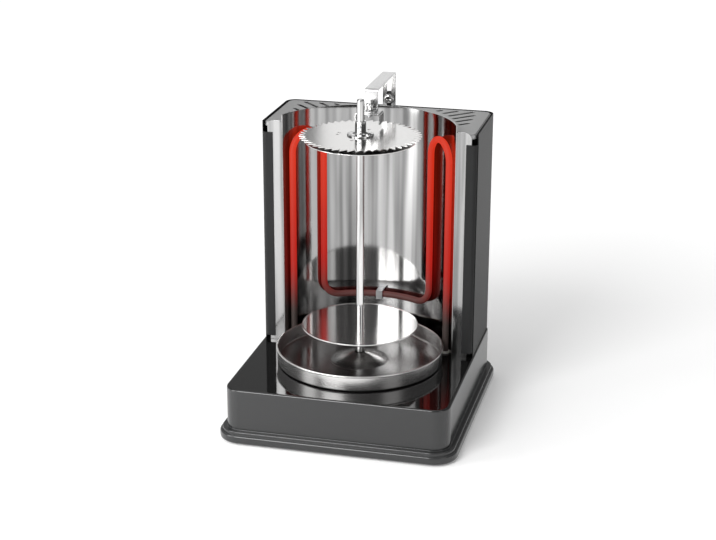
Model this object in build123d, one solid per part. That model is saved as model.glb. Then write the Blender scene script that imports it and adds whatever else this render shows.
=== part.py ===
from build123d import *
import os
from math import asin, cos, degrees, radians, sin, sqrt

# Electric vertical skewer grill. Millimetres, +Z up, +Y to the back. The origin lies on the table,
# under the middle of the base.

# ---------------------------------------------------------------- fits
running = 0.05          # radial clearance of a shaft in its bearing, or a screw in its thread
sliding = 0.08          # radial clearance of a collar that slides on the skewer
play = 0.3              # gap between a moving piece and what it passes

# ---------------------------------------------------------------- base
base_width = 270
base_depth = 286
base_top = 67           # height of the deck above the table
base_corner_r = 20
base_edge_r = 2.5
base_wall = 2.5
skirt_bottom = 2
skirt_height = 10
skirt_overhang = 9
skirt_edge_r = 2.5
bead_height = 4
bead_overhang = 6
bead_edge_r = 1.5
pan_thickness = 2
pan_recess = 1.5        # from the skirt's lower edge up to the bottom plate
pan_gap = 0.5           # round the bottom plate
boss_r = 5
boss_inset = 24         # from the side of the base to a boss
boss_shift = 46         # from the front or back of the base to a boss
bottom_screw_reach = 12
foot_r = 10
foot_inset = 30
foot_stem_r = 3
foot_stem_height = 3
pan_slot = (40, 3)      # length and width of each breathing slot
pan_slot_pitch = 9
screw_head_height = 2

# ---------------------------------------------------------------- skewer axis and drip tray
axis_y = -15            # the skewer stands this far in front of the middle
tray_reflector_gap = 12
tray_height = 19.7
tray_sheet = 0.8
tray_rim_r = 1.2        # of the rolled edge's section
tray_cone_r = 35
tray_cone_height = 10.5
tray_neck_r = 6.4
tray_lift = 20          # free height for lifting the tray under the heater

# ---------------------------------------------------------------- drive
motor_r = 24.5
motor_height = 20
motor_offset = 10       # of the can's middle behind its output shaft
motor_top_drop = 12     # from the deck down to the motor's mounting plate
motor_plate = 1
motor_ear_gap = 4.5     # from the can to the screws in its ears
motor_ear_r = 5
motor_screw_r = 1.6
motor_screw_reach = 7
motor_shaft_r = 3.5
motor_shaft_depth = 8   # of the shaft's end inside the motor
motor_boss_r = 4
bush_wall = 2.5
bush_flange_r = 11
bush_flange = 1
bush_length = 10
stem_r = 6
coupling_r = 8
coupling_height = 7.2
cup_depth = 2
tongue_width = 3
tongue_depth = 3.3

# ---------------------------------------------------------------- skewer
shaft_r = 4.6
shaft_stub = 26.2       # of the skewer above the collar
shaft_tip_r = 2.5
plate_r = 70.6
plate_gap = 25.5        # from the tray's rim up to the plate
plate_thickness = 1.2
hub_r = 10
hub_height = 6.5
skewer_lift = 4         # frees the tongue from the slot

# ---------------------------------------------------------------- upper disc
press_drop = 5.9        # of the press plate under the housing's top
press_r = 65
press_thickness = 1
serrated_gap = 5        # between the press plate and the serrated disc
serrated_r = 72
serrated_teeth = 48
tooth_depth = 8
serrated_thickness = 1.2
spacer_r = 10
spigot_r = 6.2
collar_flange_r = 15.8
collar_flange = 1.6
collar_cone = 2
collar_r = 6.6
collar_length = 17
collar_lip_r = 8
collar_lip = 0.8
disc_hole_r = 1.8
disc_hole_ring = 27
grub_r = 2
grub_drop = 7           # from the collar's top down to the set screw
grub_proud = 0.8

# ---------------------------------------------------------------- reflector
reflector_side_gap = 18 # from the housing's side to the reflector's inside
reflector_sheet = 1
rim_rise = 9.5          # of the reflector's rim over the housing
flange_rise = 2         # of its front flanges
flange_reach = 18       # of each front flange, outward from the curved wall
flange_corner_r = 8
relief_r = 1.5

# ---------------------------------------------------------------- housing
housing_inset = 3       # from the base's sides and back
housing_front = 22
housing_top = 349.5
housing_corner_r = 12
housing_front_r = 5
housing_sheet = 1
strip_width = 13
strip_foot_gap = 5      # from the deck up to the strips
strip_drop = 13         # of the strips' tops under the housing's
housing_flange = 10     # turned in along the foot of each side wall
housing_flange_front = 12
housing_screw_front = 20
housing_screw_back = 22
ledge_drop = 6
cover_inset = 3.5
cover_rise = 0.2        # of the cover under the top of the walls
cover_sheet = 1
cover_front_gap = 1.6
cover_front_r = 5
cover_reflector_gap = 0.8
slot_width = 3.4
slot_count = 6
slot_pitch = 13.9
slot_first = -44        # of the first slot from the diagonal
slot_gap = 29.6         # from the round cut-out to the longest slots, along the diagonal
slot_bow = 0.0037
slot_bow_middle = -38
slot_margin_side = 17
slot_margin_back = 6.5
stud_r = 1.5
stud_end = 20           # from each end of a strip to its last stud
stud_nut_r = 3.2
stud_nut = 1

# ---------------------------------------------------------------- heating element
heater_r = 4
heater_gap = 1.7        # from the reflector to the tube's legs
heater_front_angle = 26.4
heater_back_angle = 51.4
heater_drop = 16.5      # from the housing's top to the centre line of the hairpins' tops
link_clearance = 3.5    # under the link, over the tray when it is lifted
heater_bend_r = 20
heater_foot_length = 25 # of the cold ends under the deck
bushing_r = 5.4
bushing_rise = 2.5
bushing_below = 3.5
clip_wall = 1.6
clip_width = 8

# ---------------------------------------------------------------- height-adjustable bracket
strap_width = 16.5
strap_sheet = 2
strap_rise = 25.5       # of its top over its foot
strap_reach = 53        # from the skewer's axis to the front leg
strap_back_gap = 4      # from the housing's back to the rear leg
strap_bend_r = 3.5
strap_foot_reach = 20
leg_below_guide = 13.3
bracket_raise = 30
slot_end = 7.5          # from the slot up to the strap's top
clamp_rise = 9.5        # of the clamp screw over the housing
clamp_r = 2.5
clamp_head_r = 6.5
clamp_head = 4
yoke_width = 31
yoke_height = 12.7
yoke_sheet = 1.5
ear_slack = 0.5         # over the upper disc when the skewer is lifted
yoke_screw_r = 2
yoke_head_r = 4.6
yoke_head = 9
yoke_nut_flats = 7
yoke_nut = 3.2
yoke_tail = 2
guide_width = 24
guide_wall = 2
guide_height = 24
tab_width = 14

# ---------------------------------------------------------------- switch, inlet and small parts inside
switch_y = 60
switch_z = 41
bezel_height = 21
bezel_width = 15
bezel_proud = 2
switch_body_depth = 15
rocker_half = 7.9
rocker_width = 10.6
rocker_proud = 2.4
rocker_valley = 1
rocker_depth = 5
rocker_tilt = 10
rocker_pin_r = 1
gland_x = 85
gland_z = 38
gland_r = 6.2
gland_flange_r = 9
gland_flange = 2.5
gland_bore_r = 3.6
gland_length = 14
gland_nut = 3
terminal_size = (42, 20, 14)
terminal_back_gap = 59  # from the base's back to the block's middle
cutout_r = 8
cutout_depth = 7
cutout_drop = 119.5     # from the housing's top to the cut-out
cutout_pad = (26, 18)
housing_screw_r = 2
housing_screw_head_r = 3.8
housing_screw_nut_r = 3.8
housing_screw_nut = 3

# ---------------------------------------------------------------- places worked out from the sizes
skirt_top = skirt_bottom + skirt_height
bead_top = skirt_top + bead_height
pan_bottom = skirt_bottom + pan_recess
pan_top = pan_bottom + pan_thickness
deck_under = base_top - base_wall
half_housing = base_width / 2 - housing_inset
housing_back = base_depth / 2 - housing_inset
reflector_r = half_housing - reflector_side_gap
tray_bottom = base_top + play
tray_top = tray_bottom + tray_height
tray_r = reflector_r - tray_reflector_gap
cone_top = tray_bottom + tray_cone_height
motor_top = base_top - motor_top_drop
motor_y = axis_y + motor_offset
motor_ear_span = 2 * (motor_r + motor_ear_gap)
bush_r = stem_r + running + bush_wall
coupling_bottom = base_top + bush_flange + play
coupling_top = coupling_bottom + coupling_height
cup_floor = coupling_top - cup_depth
shaft_bottom = cup_floor + play / 2
plate_height = tray_top + plate_gap
hub_bottom = plate_height - hub_height
press_height = housing_top - press_drop
serrated_height = press_height + press_thickness + serrated_gap
serrated_top = serrated_height + serrated_thickness
collar_cone_bottom = serrated_top + collar_flange
collar_top = serrated_top + collar_length
shaft_tip = collar_top + shaft_stub
reflector_out_r = reflector_r + reflector_sheet
rim_top = housing_top + rim_rise
flange_top = housing_top + flange_rise
strip_bottom = base_top + strip_foot_gap
strip_top = housing_top - strip_drop
flange_y = housing_front + housing_sheet + 0.2
arc_end_x = sqrt(reflector_r ** 2 - (flange_y - axis_y) ** 2)
strip_inner = half_housing - strip_width
stud_x = strip_inner + 0.45 * (arc_end_x + flange_reach - strip_inner)
stud_heights = (strip_bottom + stud_end, (strip_bottom + strip_top) / 2, strip_top - stud_end)
cover_top = housing_top - cover_rise
cover_half = half_housing - cover_inset
cover_back = housing_back - cover_inset
cover_front = flange_y + reflector_sheet + cover_front_gap
ledge_top = housing_top - ledge_drop
cut_out_r = reflector_out_r + cover_reflector_gap
slot_start = cut_out_r + slot_gap + axis_y / sqrt(2)
heater_ring = reflector_r - heater_gap - heater_r
heater_peak = housing_top - heater_drop
heater_foot = base_top - heater_foot_length
heater_link = tray_top + tray_lift + link_clearance + heater_r
link_ring = sqrt(heater_ring ** 2 - heater_bend_r ** 2)
hairpin_angle = (heater_front_angle + heater_back_angle) / 2
hairpin_r = heater_ring * sin(radians(heater_back_angle - heater_front_angle) / 2)
hairpin_ring = heater_ring * cos(radians(heater_back_angle - heater_front_angle) / 2)
hairpin_start = heater_peak - hairpin_r
link_angle = heater_back_angle + degrees(asin(heater_bend_r / heater_ring))
ear_bottom = serrated_top + skewer_lift + ear_slack
yoke_top = ear_bottom + yoke_height
strap_foot_height = yoke_top
strap_top = strap_foot_height + strap_rise
strap_front = axis_y + strap_reach
strap_back = housing_back - strap_back_gap
yoke_y = strap_front - strap_foot_reach / 2
leg_front = strap_back - strap_sheet
clamp_height = housing_top + clamp_rise
slot_bottom = clamp_height - bracket_raise - clamp_r - play
slot_top = strap_top - slot_end
strap_leg_bottom = cover_top - guide_height - leg_below_guide
tab_top = clamp_height + tab_width / 2 + 2
guide_back = housing_back - housing_sheet
foot_places = [(sx * (base_width / 2 - foot_inset), sy * (base_depth / 2 - foot_inset))
               for sx in (-1, 1) for sy in (-1, 1)]
boss_places = [(sx * (base_width / 2 - boss_inset), sy * (base_depth / 2 - boss_shift))
               for sx in (-1, 1) for sy in (-1, 1)]
housing_screw_places = [(sx * (half_housing - housing_flange / 2 - 1), y)
                        for sx in (-1, 1)
                        for y in (housing_front + housing_screw_front, housing_back - housing_screw_back)]


# ---------------------------------------------------------------- shapes used again and again
def upright(radius, bottom, top, x=0, y=0):
    """A vertical cylinder."""
    low = (Align.CENTER, Align.CENTER, Align.MIN)
    return Pos(x, y, bottom) * Cylinder(radius, top - bottom, align=low)


def lying(radius, front, back, x, z):
    """A cylinder along Y, from its front end to its back end."""
    middle = Pos(x, (front + back) / 2, z)
    return middle * Rot(90, 0, 0) * Cylinder(radius, back - front)


def block(x0, x1, y0, y1, z0, z1):
    """A box between two corners."""
    return Pos((x0 + x1) / 2, (y0 + y1) / 2, (z0 + z1) / 2) * Box(x1 - x0, y1 - y0, z1 - z0)


def rounded_block(width, depth, radius, bottom, top):
    """An upright block with rounded vertical corners, in the middle of the base."""
    return extrude(Pos(0, 0, bottom) * RectangleRounded(width, depth, radius), top - bottom)


def spun(points, x=0, y=axis_y):
    """A ring turned about a vertical axis from (radius, height) points."""
    section = make_face(Polyline(*[(r, 0, z) for r, z in points], close=True))
    return Pos(x, y, 0) * revolve(section, Axis.Z, 360)


def at_axis(angle, radius):
    """A point round the skewer's axis; the angle runs from +X to the back."""
    return radius * cos(radians(angle)), axis_y + radius * sin(radians(angle))


def both_sides(piece):
    """A piece and its mirror image, fused where they meet."""
    return piece + mirror(piece, Plane.YZ)


def group(pieces):
    """Separate solids kept together in one node."""
    return Compound(children=[s for piece in pieces for s in piece.solids()])


# ---------------------------------------------------------------- base pieces
def edge_rounded(body, top_r, bottom_r=0):
    """Rounds the outer edges of a block's top face, and of its bottom face if asked."""
    body = fillet(body.faces().sort_by(Axis.Z)[-1].edges(), top_r)
    if bottom_r:
        body = fillet(body.faces().sort_by(Axis.Z)[0].edges(), bottom_r)
    return body


def base_shell():
    body = rounded_block(base_width, base_depth, base_corner_r, skirt_bottom, base_top)
    body = edge_rounded(body, base_edge_r)
    skirt = rounded_block(base_width + 2 * skirt_overhang, base_depth + 2 * skirt_overhang,
                          base_corner_r + skirt_overhang, skirt_bottom, skirt_top)
    skirt = edge_rounded(skirt, skirt_edge_r, skirt_edge_r)
    bead = rounded_block(base_width + 2 * bead_overhang, base_depth + 2 * bead_overhang,
                         base_corner_r + bead_overhang, skirt_top - 1, bead_top)
    bead = edge_rounded(bead, bead_edge_r)
    inside = rounded_block(base_width - 2 * base_wall, base_depth - 2 * base_wall,
                           base_corner_r - base_wall, skirt_bottom - 1, deck_under)
    shell = body + skirt + bead - inside
    for x, y in boss_places:
        shell += upright(boss_r, pan_top, deck_under, x, y)
        shell -= upright(motor_screw_r, pan_top, pan_top + bottom_screw_reach + 2, x, y)
    for side in (-1, 1):
        x = side * motor_ear_span / 2
        shell += upright(motor_boss_r, motor_top, deck_under, x, motor_y)
        shell -= upright(motor_screw_r, motor_top, deck_under - 1, x, motor_y)
        shell -= upright(bushing_r, deck_under - 1, base_top + 1, *heater_foot_place(side))
    for x, y in housing_screw_places:
        shell -= upright(housing_screw_r + running, deck_under - 1, base_top + 1, x, y)
    shell += upright(bush_r + base_wall, base_top - bush_length, deck_under, 0, axis_y)
    shell -= upright(bush_r, base_top - bush_length - 1, base_top + 1, 0, axis_y)
    wall_x = -base_width / 2
    shell -= block(wall_x - 1, wall_x + base_wall + 1, switch_y - switch_body_width() / 2,
                   switch_y + switch_body_width() / 2, switch_z - switch_body_height() / 2,
                   switch_z + switch_body_height() / 2)
    shell -= lying(gland_r, base_depth / 2 - base_wall - 1, base_depth / 2 + 1, gland_x, gland_z)
    return shell


def bottom_plate():
    gap = 2 * (base_wall + pan_gap)
    plate = rounded_block(base_width - gap, base_depth - gap, base_corner_r - gap / 2,
                          pan_bottom, pan_top)
    for x, y in boss_places:
        plate -= upright(motor_screw_r + running, pan_bottom - 1, pan_top + 1, x, y)
    for x, y in foot_places:
        plate -= upright(foot_stem_r + running, pan_bottom - 1, pan_top + 1, x, y)
    for row in range(-3, 4):
        slot = SlotOverall(*pan_slot)
        plate -= extrude(Pos(0, motor_y + row * pan_slot_pitch, pan_bottom - 1) * slot, pan_thickness + 2)
    return plate


def rubber_feet():
    feet = []
    for x, y in foot_places:
        pad = chamfer(upright(foot_r, 0, pan_bottom, x, y).edges().sort_by(Axis.Z)[0], 0.8)
        stem = upright(foot_stem_r, pan_bottom, pan_top + foot_stem_height, x, y)
        feet.append(pad + stem)
    return group(feet)


def bottom_screws():
    """Pan-head screws from below, through the bottom plate into the bosses."""
    screws = []
    for x, y in boss_places:
        head = upright(2 * motor_screw_r, pan_bottom - 1.4, pan_bottom, x, y)
        shank = upright(motor_screw_r - running, pan_bottom, pan_top + bottom_screw_reach, x, y)
        screws.append(head + shank)
    return group(screws)


# ---------------------------------------------------------------- drive pieces
def gear_motor():
    can = upright(motor_r, motor_top - motor_plate - motor_height, motor_top - motor_plate,
                  0, motor_y)
    can = fillet(can.edges().sort_by(Axis.Z)[0], 1.5)
    plate = upright(motor_r, motor_top - motor_plate, motor_top, 0, motor_y)
    plate += block(-motor_ear_span / 2, motor_ear_span / 2, motor_y - motor_ear_r,
                   motor_y + motor_ear_r, motor_top - motor_plate, motor_top)
    for side in (-1, 1):
        plate += upright(motor_ear_r, motor_top - motor_plate, motor_top,
                         side * motor_ear_span / 2, motor_y)
    body = can + plate
    for side in (-1, 1):
        body -= upright(motor_screw_r + running, motor_top - 5, motor_top + 1,
                        side * motor_ear_span / 2, motor_y)
    bore_bottom = motor_top - motor_shaft_depth - 2 * play
    return body - upright(motor_shaft_r + running, bore_bottom, motor_top + 1, 0, axis_y)


def motor_screws():
    screws = []
    for side in (-1, 1):
        x = side * motor_ear_span / 2
        head = upright(2 * motor_screw_r, motor_top - motor_plate - screw_head_height,
                       motor_top - motor_plate, x, motor_y)
        shank = upright(motor_screw_r - running, motor_top - motor_plate, motor_top + motor_screw_reach,
                        x, motor_y)
        screws.append(head + shank)
    return group(screws)


def drive_bush():
    bore = stem_r + running
    return spun([(bore, base_top - bush_length), (bush_r - running, base_top - bush_length),
                 (bush_r - running, base_top), (bush_flange_r, base_top),
                 (bush_flange_r, base_top + bush_flange), (bore, base_top + bush_flange)])


def motor_shaft():
    shaft = upright(motor_shaft_r, motor_top - motor_shaft_depth, base_top - 2, 0, axis_y)
    return chamfer(shaft.edges().sort_by(Axis.Z)[-1], 0.5)


def drive_coupling():
    stem_bottom = motor_top + play
    body = spun([(0, stem_bottom), (stem_r, stem_bottom), (stem_r, coupling_bottom),
                 (coupling_r, coupling_bottom), (coupling_r, coupling_top), (0, coupling_top)])
    body -= upright(motor_shaft_r + running, stem_bottom - 1, base_top - 2 + play, 0, axis_y)
    body -= upright(shaft_r + running, cup_floor, coupling_top + 1, 0, axis_y)
    half_slot = tongue_width / 2 + play / 2
    slot_floor = shaft_bottom - tongue_depth - play
    slot = block(-shaft_r - running, shaft_r + running, axis_y - half_slot, axis_y + half_slot,
                 slot_floor, cup_floor + 0.01)
    return body - slot


# ---------------------------------------------------------------- drip tray
def drip_tray():
    """Spun sheet: a flat floor, an upright wall with a rolled edge, and a cone round the drive."""
    sheet = tray_sheet
    floor = tray_bottom
    wall = tray_r - tray_rim_r
    fall = (tray_cone_height - sheet) / (tray_cone_r - tray_neck_r)
    section = make_face(Polyline(
        (tray_neck_r, 0, cone_top), (tray_cone_r, 0, floor + sheet), (wall - sheet, 0, floor + sheet),
        (wall - sheet, 0, tray_top - tray_rim_r), (wall, 0, tray_top - tray_rim_r),
        (wall, 0, floor), (tray_cone_r - sheet, 0, floor),
        (tray_neck_r, 0, floor + fall * (tray_cone_r - sheet - tray_neck_r)), close=True))
    tray = revolve(section, Axis.Z, 360)
    rim = Plane.XZ * Pos(tray_r - tray_rim_r, tray_top - tray_rim_r) * Circle(tray_rim_r)
    return Pos(0, axis_y, 0) * (tray + revolve(rim, Axis.Z, 360))


# ---------------------------------------------------------------- skewer pieces
def skewer_shaft():
    shaft = upright(shaft_r, shaft_bottom, shaft_tip, 0, axis_y)
    shaft = fillet(shaft.edges().sort_by(Axis.Z)[-1], shaft_tip_r)
    tongue = upright(shaft_r - running, shaft_bottom - tongue_depth, shaft_bottom, 0, axis_y)
    half = tongue_width / 2
    tongue &= block(-shaft_r, shaft_r, axis_y - half, axis_y + half, 0, shaft_bottom)
    return shaft + tongue


def lower_plate():
    """The round plate near the skewer's foot; its edge is rolled up a little."""
    top = plate_height + plate_thickness
    return spun([(shaft_r + running, plate_height), (plate_r - 1, plate_height),
                 (plate_r, plate_height + 0.4), (plate_r, top + 0.6), (plate_r - 0.8, top + 0.6),
                 (plate_r - 1.4, top), (shaft_r + running, top)])


def plate_hub():
    return spun([(shaft_r + running, hub_bottom), (hub_r - 2, hub_bottom), (hub_r, hub_bottom + 2),
                 (hub_r, plate_height), (shaft_r + running, plate_height)])


# ---------------------------------------------------------------- upper disc pieces
def disc_holes():
    """Pairs of small holes beside the hub, front, back, left and right."""
    holes = []
    for quarter in range(4):
        for offset in (-8, 8):
            angle = 90 * quarter + offset
            x, y = at_axis(angle, disc_hole_ring)
            holes.append(upright(disc_hole_r, press_height - 1, serrated_top + 1, x, y))
    return holes


def press_plate():
    top = press_height + press_thickness
    return spun([(spigot_r + running, press_height), (press_r, press_height),
                 (press_r, top), (spigot_r + running, top)])


def serrated_disc():
    """A disc with saw teeth all round its edge."""
    step = 360 / serrated_teeth
    outline = []
    for tooth in range(serrated_teeth):
        for share, radius in ((0.0, serrated_r - tooth_depth), (0.25, serrated_r)):
            angle = radians((tooth + share) * step)
            outline.append((radius * cos(angle), axis_y + radius * sin(angle)))
    face = Pos(0, 0, serrated_height) * make_face(Polyline(*outline, close=True))
    disc = extrude(face, serrated_thickness)
    disc -= upright(spigot_r + running, serrated_height - 1, serrated_top + 1, 0, axis_y)
    for hole in disc_holes():
        disc -= hole
    return disc


def disc_spacer():
    bottom = press_height + press_thickness
    return spun([(spigot_r + running, bottom), (spacer_r, bottom), (spacer_r, serrated_height),
                 (spigot_r + running, serrated_height)])


def disc_collar():
    """The collar that the discs hang on: a spigot with a lip below, a flange, and an eight-sided neck."""
    bore = shaft_r + sliding
    lip = press_height - collar_lip
    neck_bottom = collar_cone_bottom + collar_cone
    lower = spun([(bore, lip), (collar_lip_r, lip), (collar_lip_r, press_height), (spigot_r, press_height),
                  (spigot_r, serrated_top), (collar_flange_r, serrated_top),
                  (collar_flange_r, collar_cone_bottom), (collar_r, neck_bottom), (bore, neck_bottom)])
    neck = extrude(Pos(0, axis_y, neck_bottom - 0.5) * RegularPolygon(collar_r, 8, rotation=22.5),
                   collar_top - neck_bottom + 0.5)
    neck -= upright(bore, neck_bottom - 1, collar_top + 1, 0, axis_y)
    collar = lower + neck
    return collar - lying(grub_r + running, axis_y - collar_r - 1, axis_y, 0, collar_top - grub_drop)


def grub_screw():
    front = axis_y - collar_r - grub_proud
    screw = lying(grub_r, front, axis_y - shaft_r - running, 0, collar_top - grub_drop)
    driver = block(-0.4, 0.4, front - 1, front + 0.8, collar_top - grub_drop - 3, collar_top - grub_drop + 3)
    return screw - driver


# ---------------------------------------------------------------- reflector, housing and cover
def reflector():
    """Polished sheet bent to an arc round the skewer, with a flange turned out at each front edge."""
    wall = upright(reflector_out_r, base_top, rim_top, 0, axis_y)
    wall -= upright(reflector_r, base_top - 1, rim_top + 1, 0, axis_y)
    wall -= block(-reflector_out_r - 1, reflector_out_r + 1, axis_y - reflector_out_r - 1, flange_y,
                  base_top - 1, rim_top + 1)
    flange_end = arc_end_x + flange_reach
    flange = block(arc_end_x, flange_end, flange_y, flange_y + reflector_sheet, base_top, flange_top)
    corner = flange.edges().filter_by(Axis.Y).group_by(Axis.X)[-1].sort_by(Axis.Z)[-1]
    flange = fillet(corner, flange_corner_r)
    sheet = wall + both_sides(flange)
    for side in (-1, 1):
        sheet -= lying(relief_r, flange_y - 1, flange_y + 3, side * (arc_end_x + relief_r / 2), flange_top)
        for z in stud_heights:
            sheet -= lying(stud_r + running, flange_y - 1, flange_y + 3, side * stud_x, z)
    return sheet


def plan_outline(half_width, front, back, back_r, front_r):
    """A plan in the middle of the grill, with one radius at its back corners and one at its front."""
    plan = Pos(0, (front + back) / 2) * Rectangle(2 * half_width, back - front)
    plan = fillet(plan.vertices().group_by(Axis.Y)[-1], back_r)
    return fillet(plan.vertices().group_by(Axis.Y)[0], front_r)


def housing_outline(inset):
    """The housing's plan, drawn in by a distance from its outer face."""
    return plan_outline(half_housing - inset, housing_front + inset, housing_back - inset,
                        housing_corner_r - inset, housing_front_r - inset)


def cover_outline(inset):
    """The cover's plan, drawn in by a distance from its outer face."""
    return plan_outline(cover_half - inset, cover_front + inset, cover_back - inset,
                        housing_corner_r - cover_inset - inset, cover_front_r - inset)


def housing_shell():
    """One painted sheet bent round the back and sides, with a narrow strip turned in at each front edge."""
    outer = extrude(Pos(0, 0, base_top) * housing_outline(0), housing_top - base_top)
    inner = extrude(Pos(0, 0, base_top - 1) * housing_outline(housing_sheet), housing_top - base_top + 2)
    shell = outer - inner
    front = housing_front + housing_front_r
    shell -= block(-strip_inner, strip_inner, housing_front - 1, front, base_top - 1, housing_top + 1)
    for low, high in ((base_top - 1, strip_bottom), (strip_top, housing_top + 1)):
        for side in (-1, 1):
            x0, x1 = sorted((side * (strip_inner - 1), side * (half_housing - housing_sheet)))
            shell -= block(x0, x1, housing_front - 1, front, low, high)
    ledge = extrude(Pos(0, 0, ledge_top - housing_sheet) * housing_outline(housing_sheet / 2), housing_sheet)
    ledge -= extrude(Pos(0, 0, ledge_top - 2) * cover_outline(2 * cover_sheet), 4)
    ledge_front = cover_front + 2 * cover_sheet + 1
    ledge -= block(-half_housing, half_housing, housing_front - 1, ledge_front, ledge_top - 2, ledge_top + 2)
    ledge -= block(-guide_width / 2 - play, guide_width / 2 + play, housing_back - 10,
                   housing_back - housing_sheet, ledge_top - 2, ledge_top + 2)
    shell += ledge
    for side in (-1, 1):
        x0, x1 = sorted((side * (half_housing - housing_flange), side * (half_housing - housing_sheet / 2)))
        shell += block(x0, x1, housing_front + housing_flange_front, housing_back - housing_corner_r,
                       base_top, base_top + housing_sheet)
    for x, y in housing_screw_places:
        shell -= upright(housing_screw_r + running, base_top - 1, base_top + 3, x, y)
    return shell


def vent_slots():
    """Slots along the diagonal in the right back corner, as many as fit short of the side and the back."""
    slots = []
    side_limit = cover_half - slot_margin_side
    back_limit = cover_back - slot_margin_back
    for number in range(slot_count):
        across = slot_first + number * slot_pitch
        start = slot_start - slot_bow * (across - slot_bow_middle) ** 2
        end = min(sqrt(2) * side_limit - across, sqrt(2) * back_limit + across)
        if end < start + slot_width:
            continue
        middle = (start + end) / 2
        x = (middle + across) / sqrt(2)
        y = (middle - across) / sqrt(2)
        slots.append(Pos(x, y) * Rot(0, 0, 45) * SlotOverall(end - start + slot_width, slot_width))
    return slots


def top_cover():
    """Sheet lid over the housing, with a down-turned edge that stands on the ledge."""
    lid = extrude(Pos(0, 0, ledge_top) * cover_outline(0), cover_top - ledge_top)
    hollow = Pos(0, 0, ledge_top - 1) * cover_outline(cover_sheet)
    lid -= extrude(hollow, cover_top - cover_sheet - ledge_top + 1)
    lid -= upright(cut_out_r, ledge_top - 1, cover_top + 1, 0, axis_y)
    lid -= block(-guide_width / 2 - play, guide_width / 2 + play, leg_front - 6, cover_back + 1,
                 ledge_top - 1, cover_top + 1)
    for slot in vent_slots():
        cut = extrude(Pos(0, 0, cover_top - 2) * slot, 4)
        lid -= cut
        lid -= mirror(cut, Plane.YZ)
    return lid


def reflector_studs():
    """Weld studs on the back of the strips, with push-on nuts that hold the reflector's flanges."""
    studs = []
    back = flange_y + reflector_sheet
    for side in (-1, 1):
        for z in stud_heights:
            x = side * stud_x
            stud = lying(stud_r, housing_front + housing_sheet, back + 3, x, z)
            studs.append(stud + lying(stud_nut_r, back, back + stud_nut, x, z))
    return group(studs)


def housing_screws():
    """Screws up through the deck and the housing's foot, each with its nut on top."""
    screws = []
    foot = base_top + housing_sheet
    for x, y in housing_screw_places:
        head = upright(housing_screw_head_r, deck_under - screw_head_height, deck_under, x, y)
        shank = upright(housing_screw_r, deck_under, foot + housing_screw_nut + 1, x, y)
        nut = extrude(Pos(x, y, foot) * RegularPolygon(housing_screw_nut_r, 6), housing_screw_nut)
        screws.append(head + shank + nut)
    return group(screws)


# ---------------------------------------------------------------- heating element and its holders
def heater_foot_place(side):
    x, y = at_axis(heater_front_angle, heater_ring)
    return side * x, y


def bend(centre, start_direction, axis_direction, radius, angle):
    """A stretch of tube bent round a centre; it starts at the centre plus radius times start_direction."""
    middle = Vector(*centre)
    start = middle + Vector(*start_direction) * radius
    turning = Vector(*axis_direction)
    along = turning.cross(Vector(*start_direction))
    section = Plane(origin=start, z_dir=along) * Circle(heater_r)
    return revolve(section, Axis(middle, turning), angle)


def heating_element():
    """One sheathed tube: up, over and down on each side, and across behind the skewer at the bottom."""
    front = at_axis(heater_front_angle, heater_ring)
    back = at_axis(heater_back_angle, heater_ring)
    half = upright(heater_r, heater_foot, hairpin_start, *front)
    half += upright(heater_r, heater_link + heater_bend_r, hairpin_start, *back)
    top = at_axis(hairpin_angle, hairpin_ring)
    chord = (front[0] - top[0], front[1] - top[1], 0)
    length = sqrt(chord[0] ** 2 + chord[1] ** 2)
    toward_front = (chord[0] / length, chord[1] / length, 0)
    level = (toward_front[1], -toward_front[0], 0)
    half += bend((*top, hairpin_start), toward_front, level, hairpin_r, 180)
    end = at_axis(link_angle, link_ring)
    step = ((end[0] - back[0]) / heater_bend_r, (end[1] - back[1]) / heater_bend_r, 0)
    elbow_centre = (*end, heater_link + heater_bend_r)
    half += bend(elbow_centre, (-step[0], -step[1], 0), (step[1], -step[0], 0), heater_bend_r, 90)
    sweep_angle = 2 * (90 - link_angle)
    start_direction = (cos(radians(link_angle)), sin(radians(link_angle)), 0)
    link = bend((0, axis_y, heater_link), start_direction, (0, 0, 1), link_ring, sweep_angle)
    return both_sides(half) + link


def heater_bushings():
    """Ceramic bushings where the tube's cold ends pass through the deck."""
    rings = []
    for side in (-1, 1):
        x, y = heater_foot_place(side)
        body = upright(bushing_r, deck_under - bushing_below, base_top + bushing_rise, x, y)
        rings.append(body - upright(heater_r + running, heater_foot, base_top + bushing_rise + 1, x, y))
    return group(rings)


def heater_clip():
    """A saddle on the reflector that holds the link of the tube."""
    half = clip_width / 2
    reach = link_ring - heater_r - clip_wall
    clip = block(-half, half, axis_y + reach, axis_y + reflector_r, heater_link - heater_r - clip_wall,
                 heater_link + heater_r + clip_wall)
    clip &= upright(reflector_r, 0, rim_top, 0, axis_y)
    section = Plane.XZ * Pos(link_ring, heater_link) * Circle(heater_r + running)
    return clip - Pos(0, axis_y, 0) * revolve(section, Axis.Z, 360)


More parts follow.
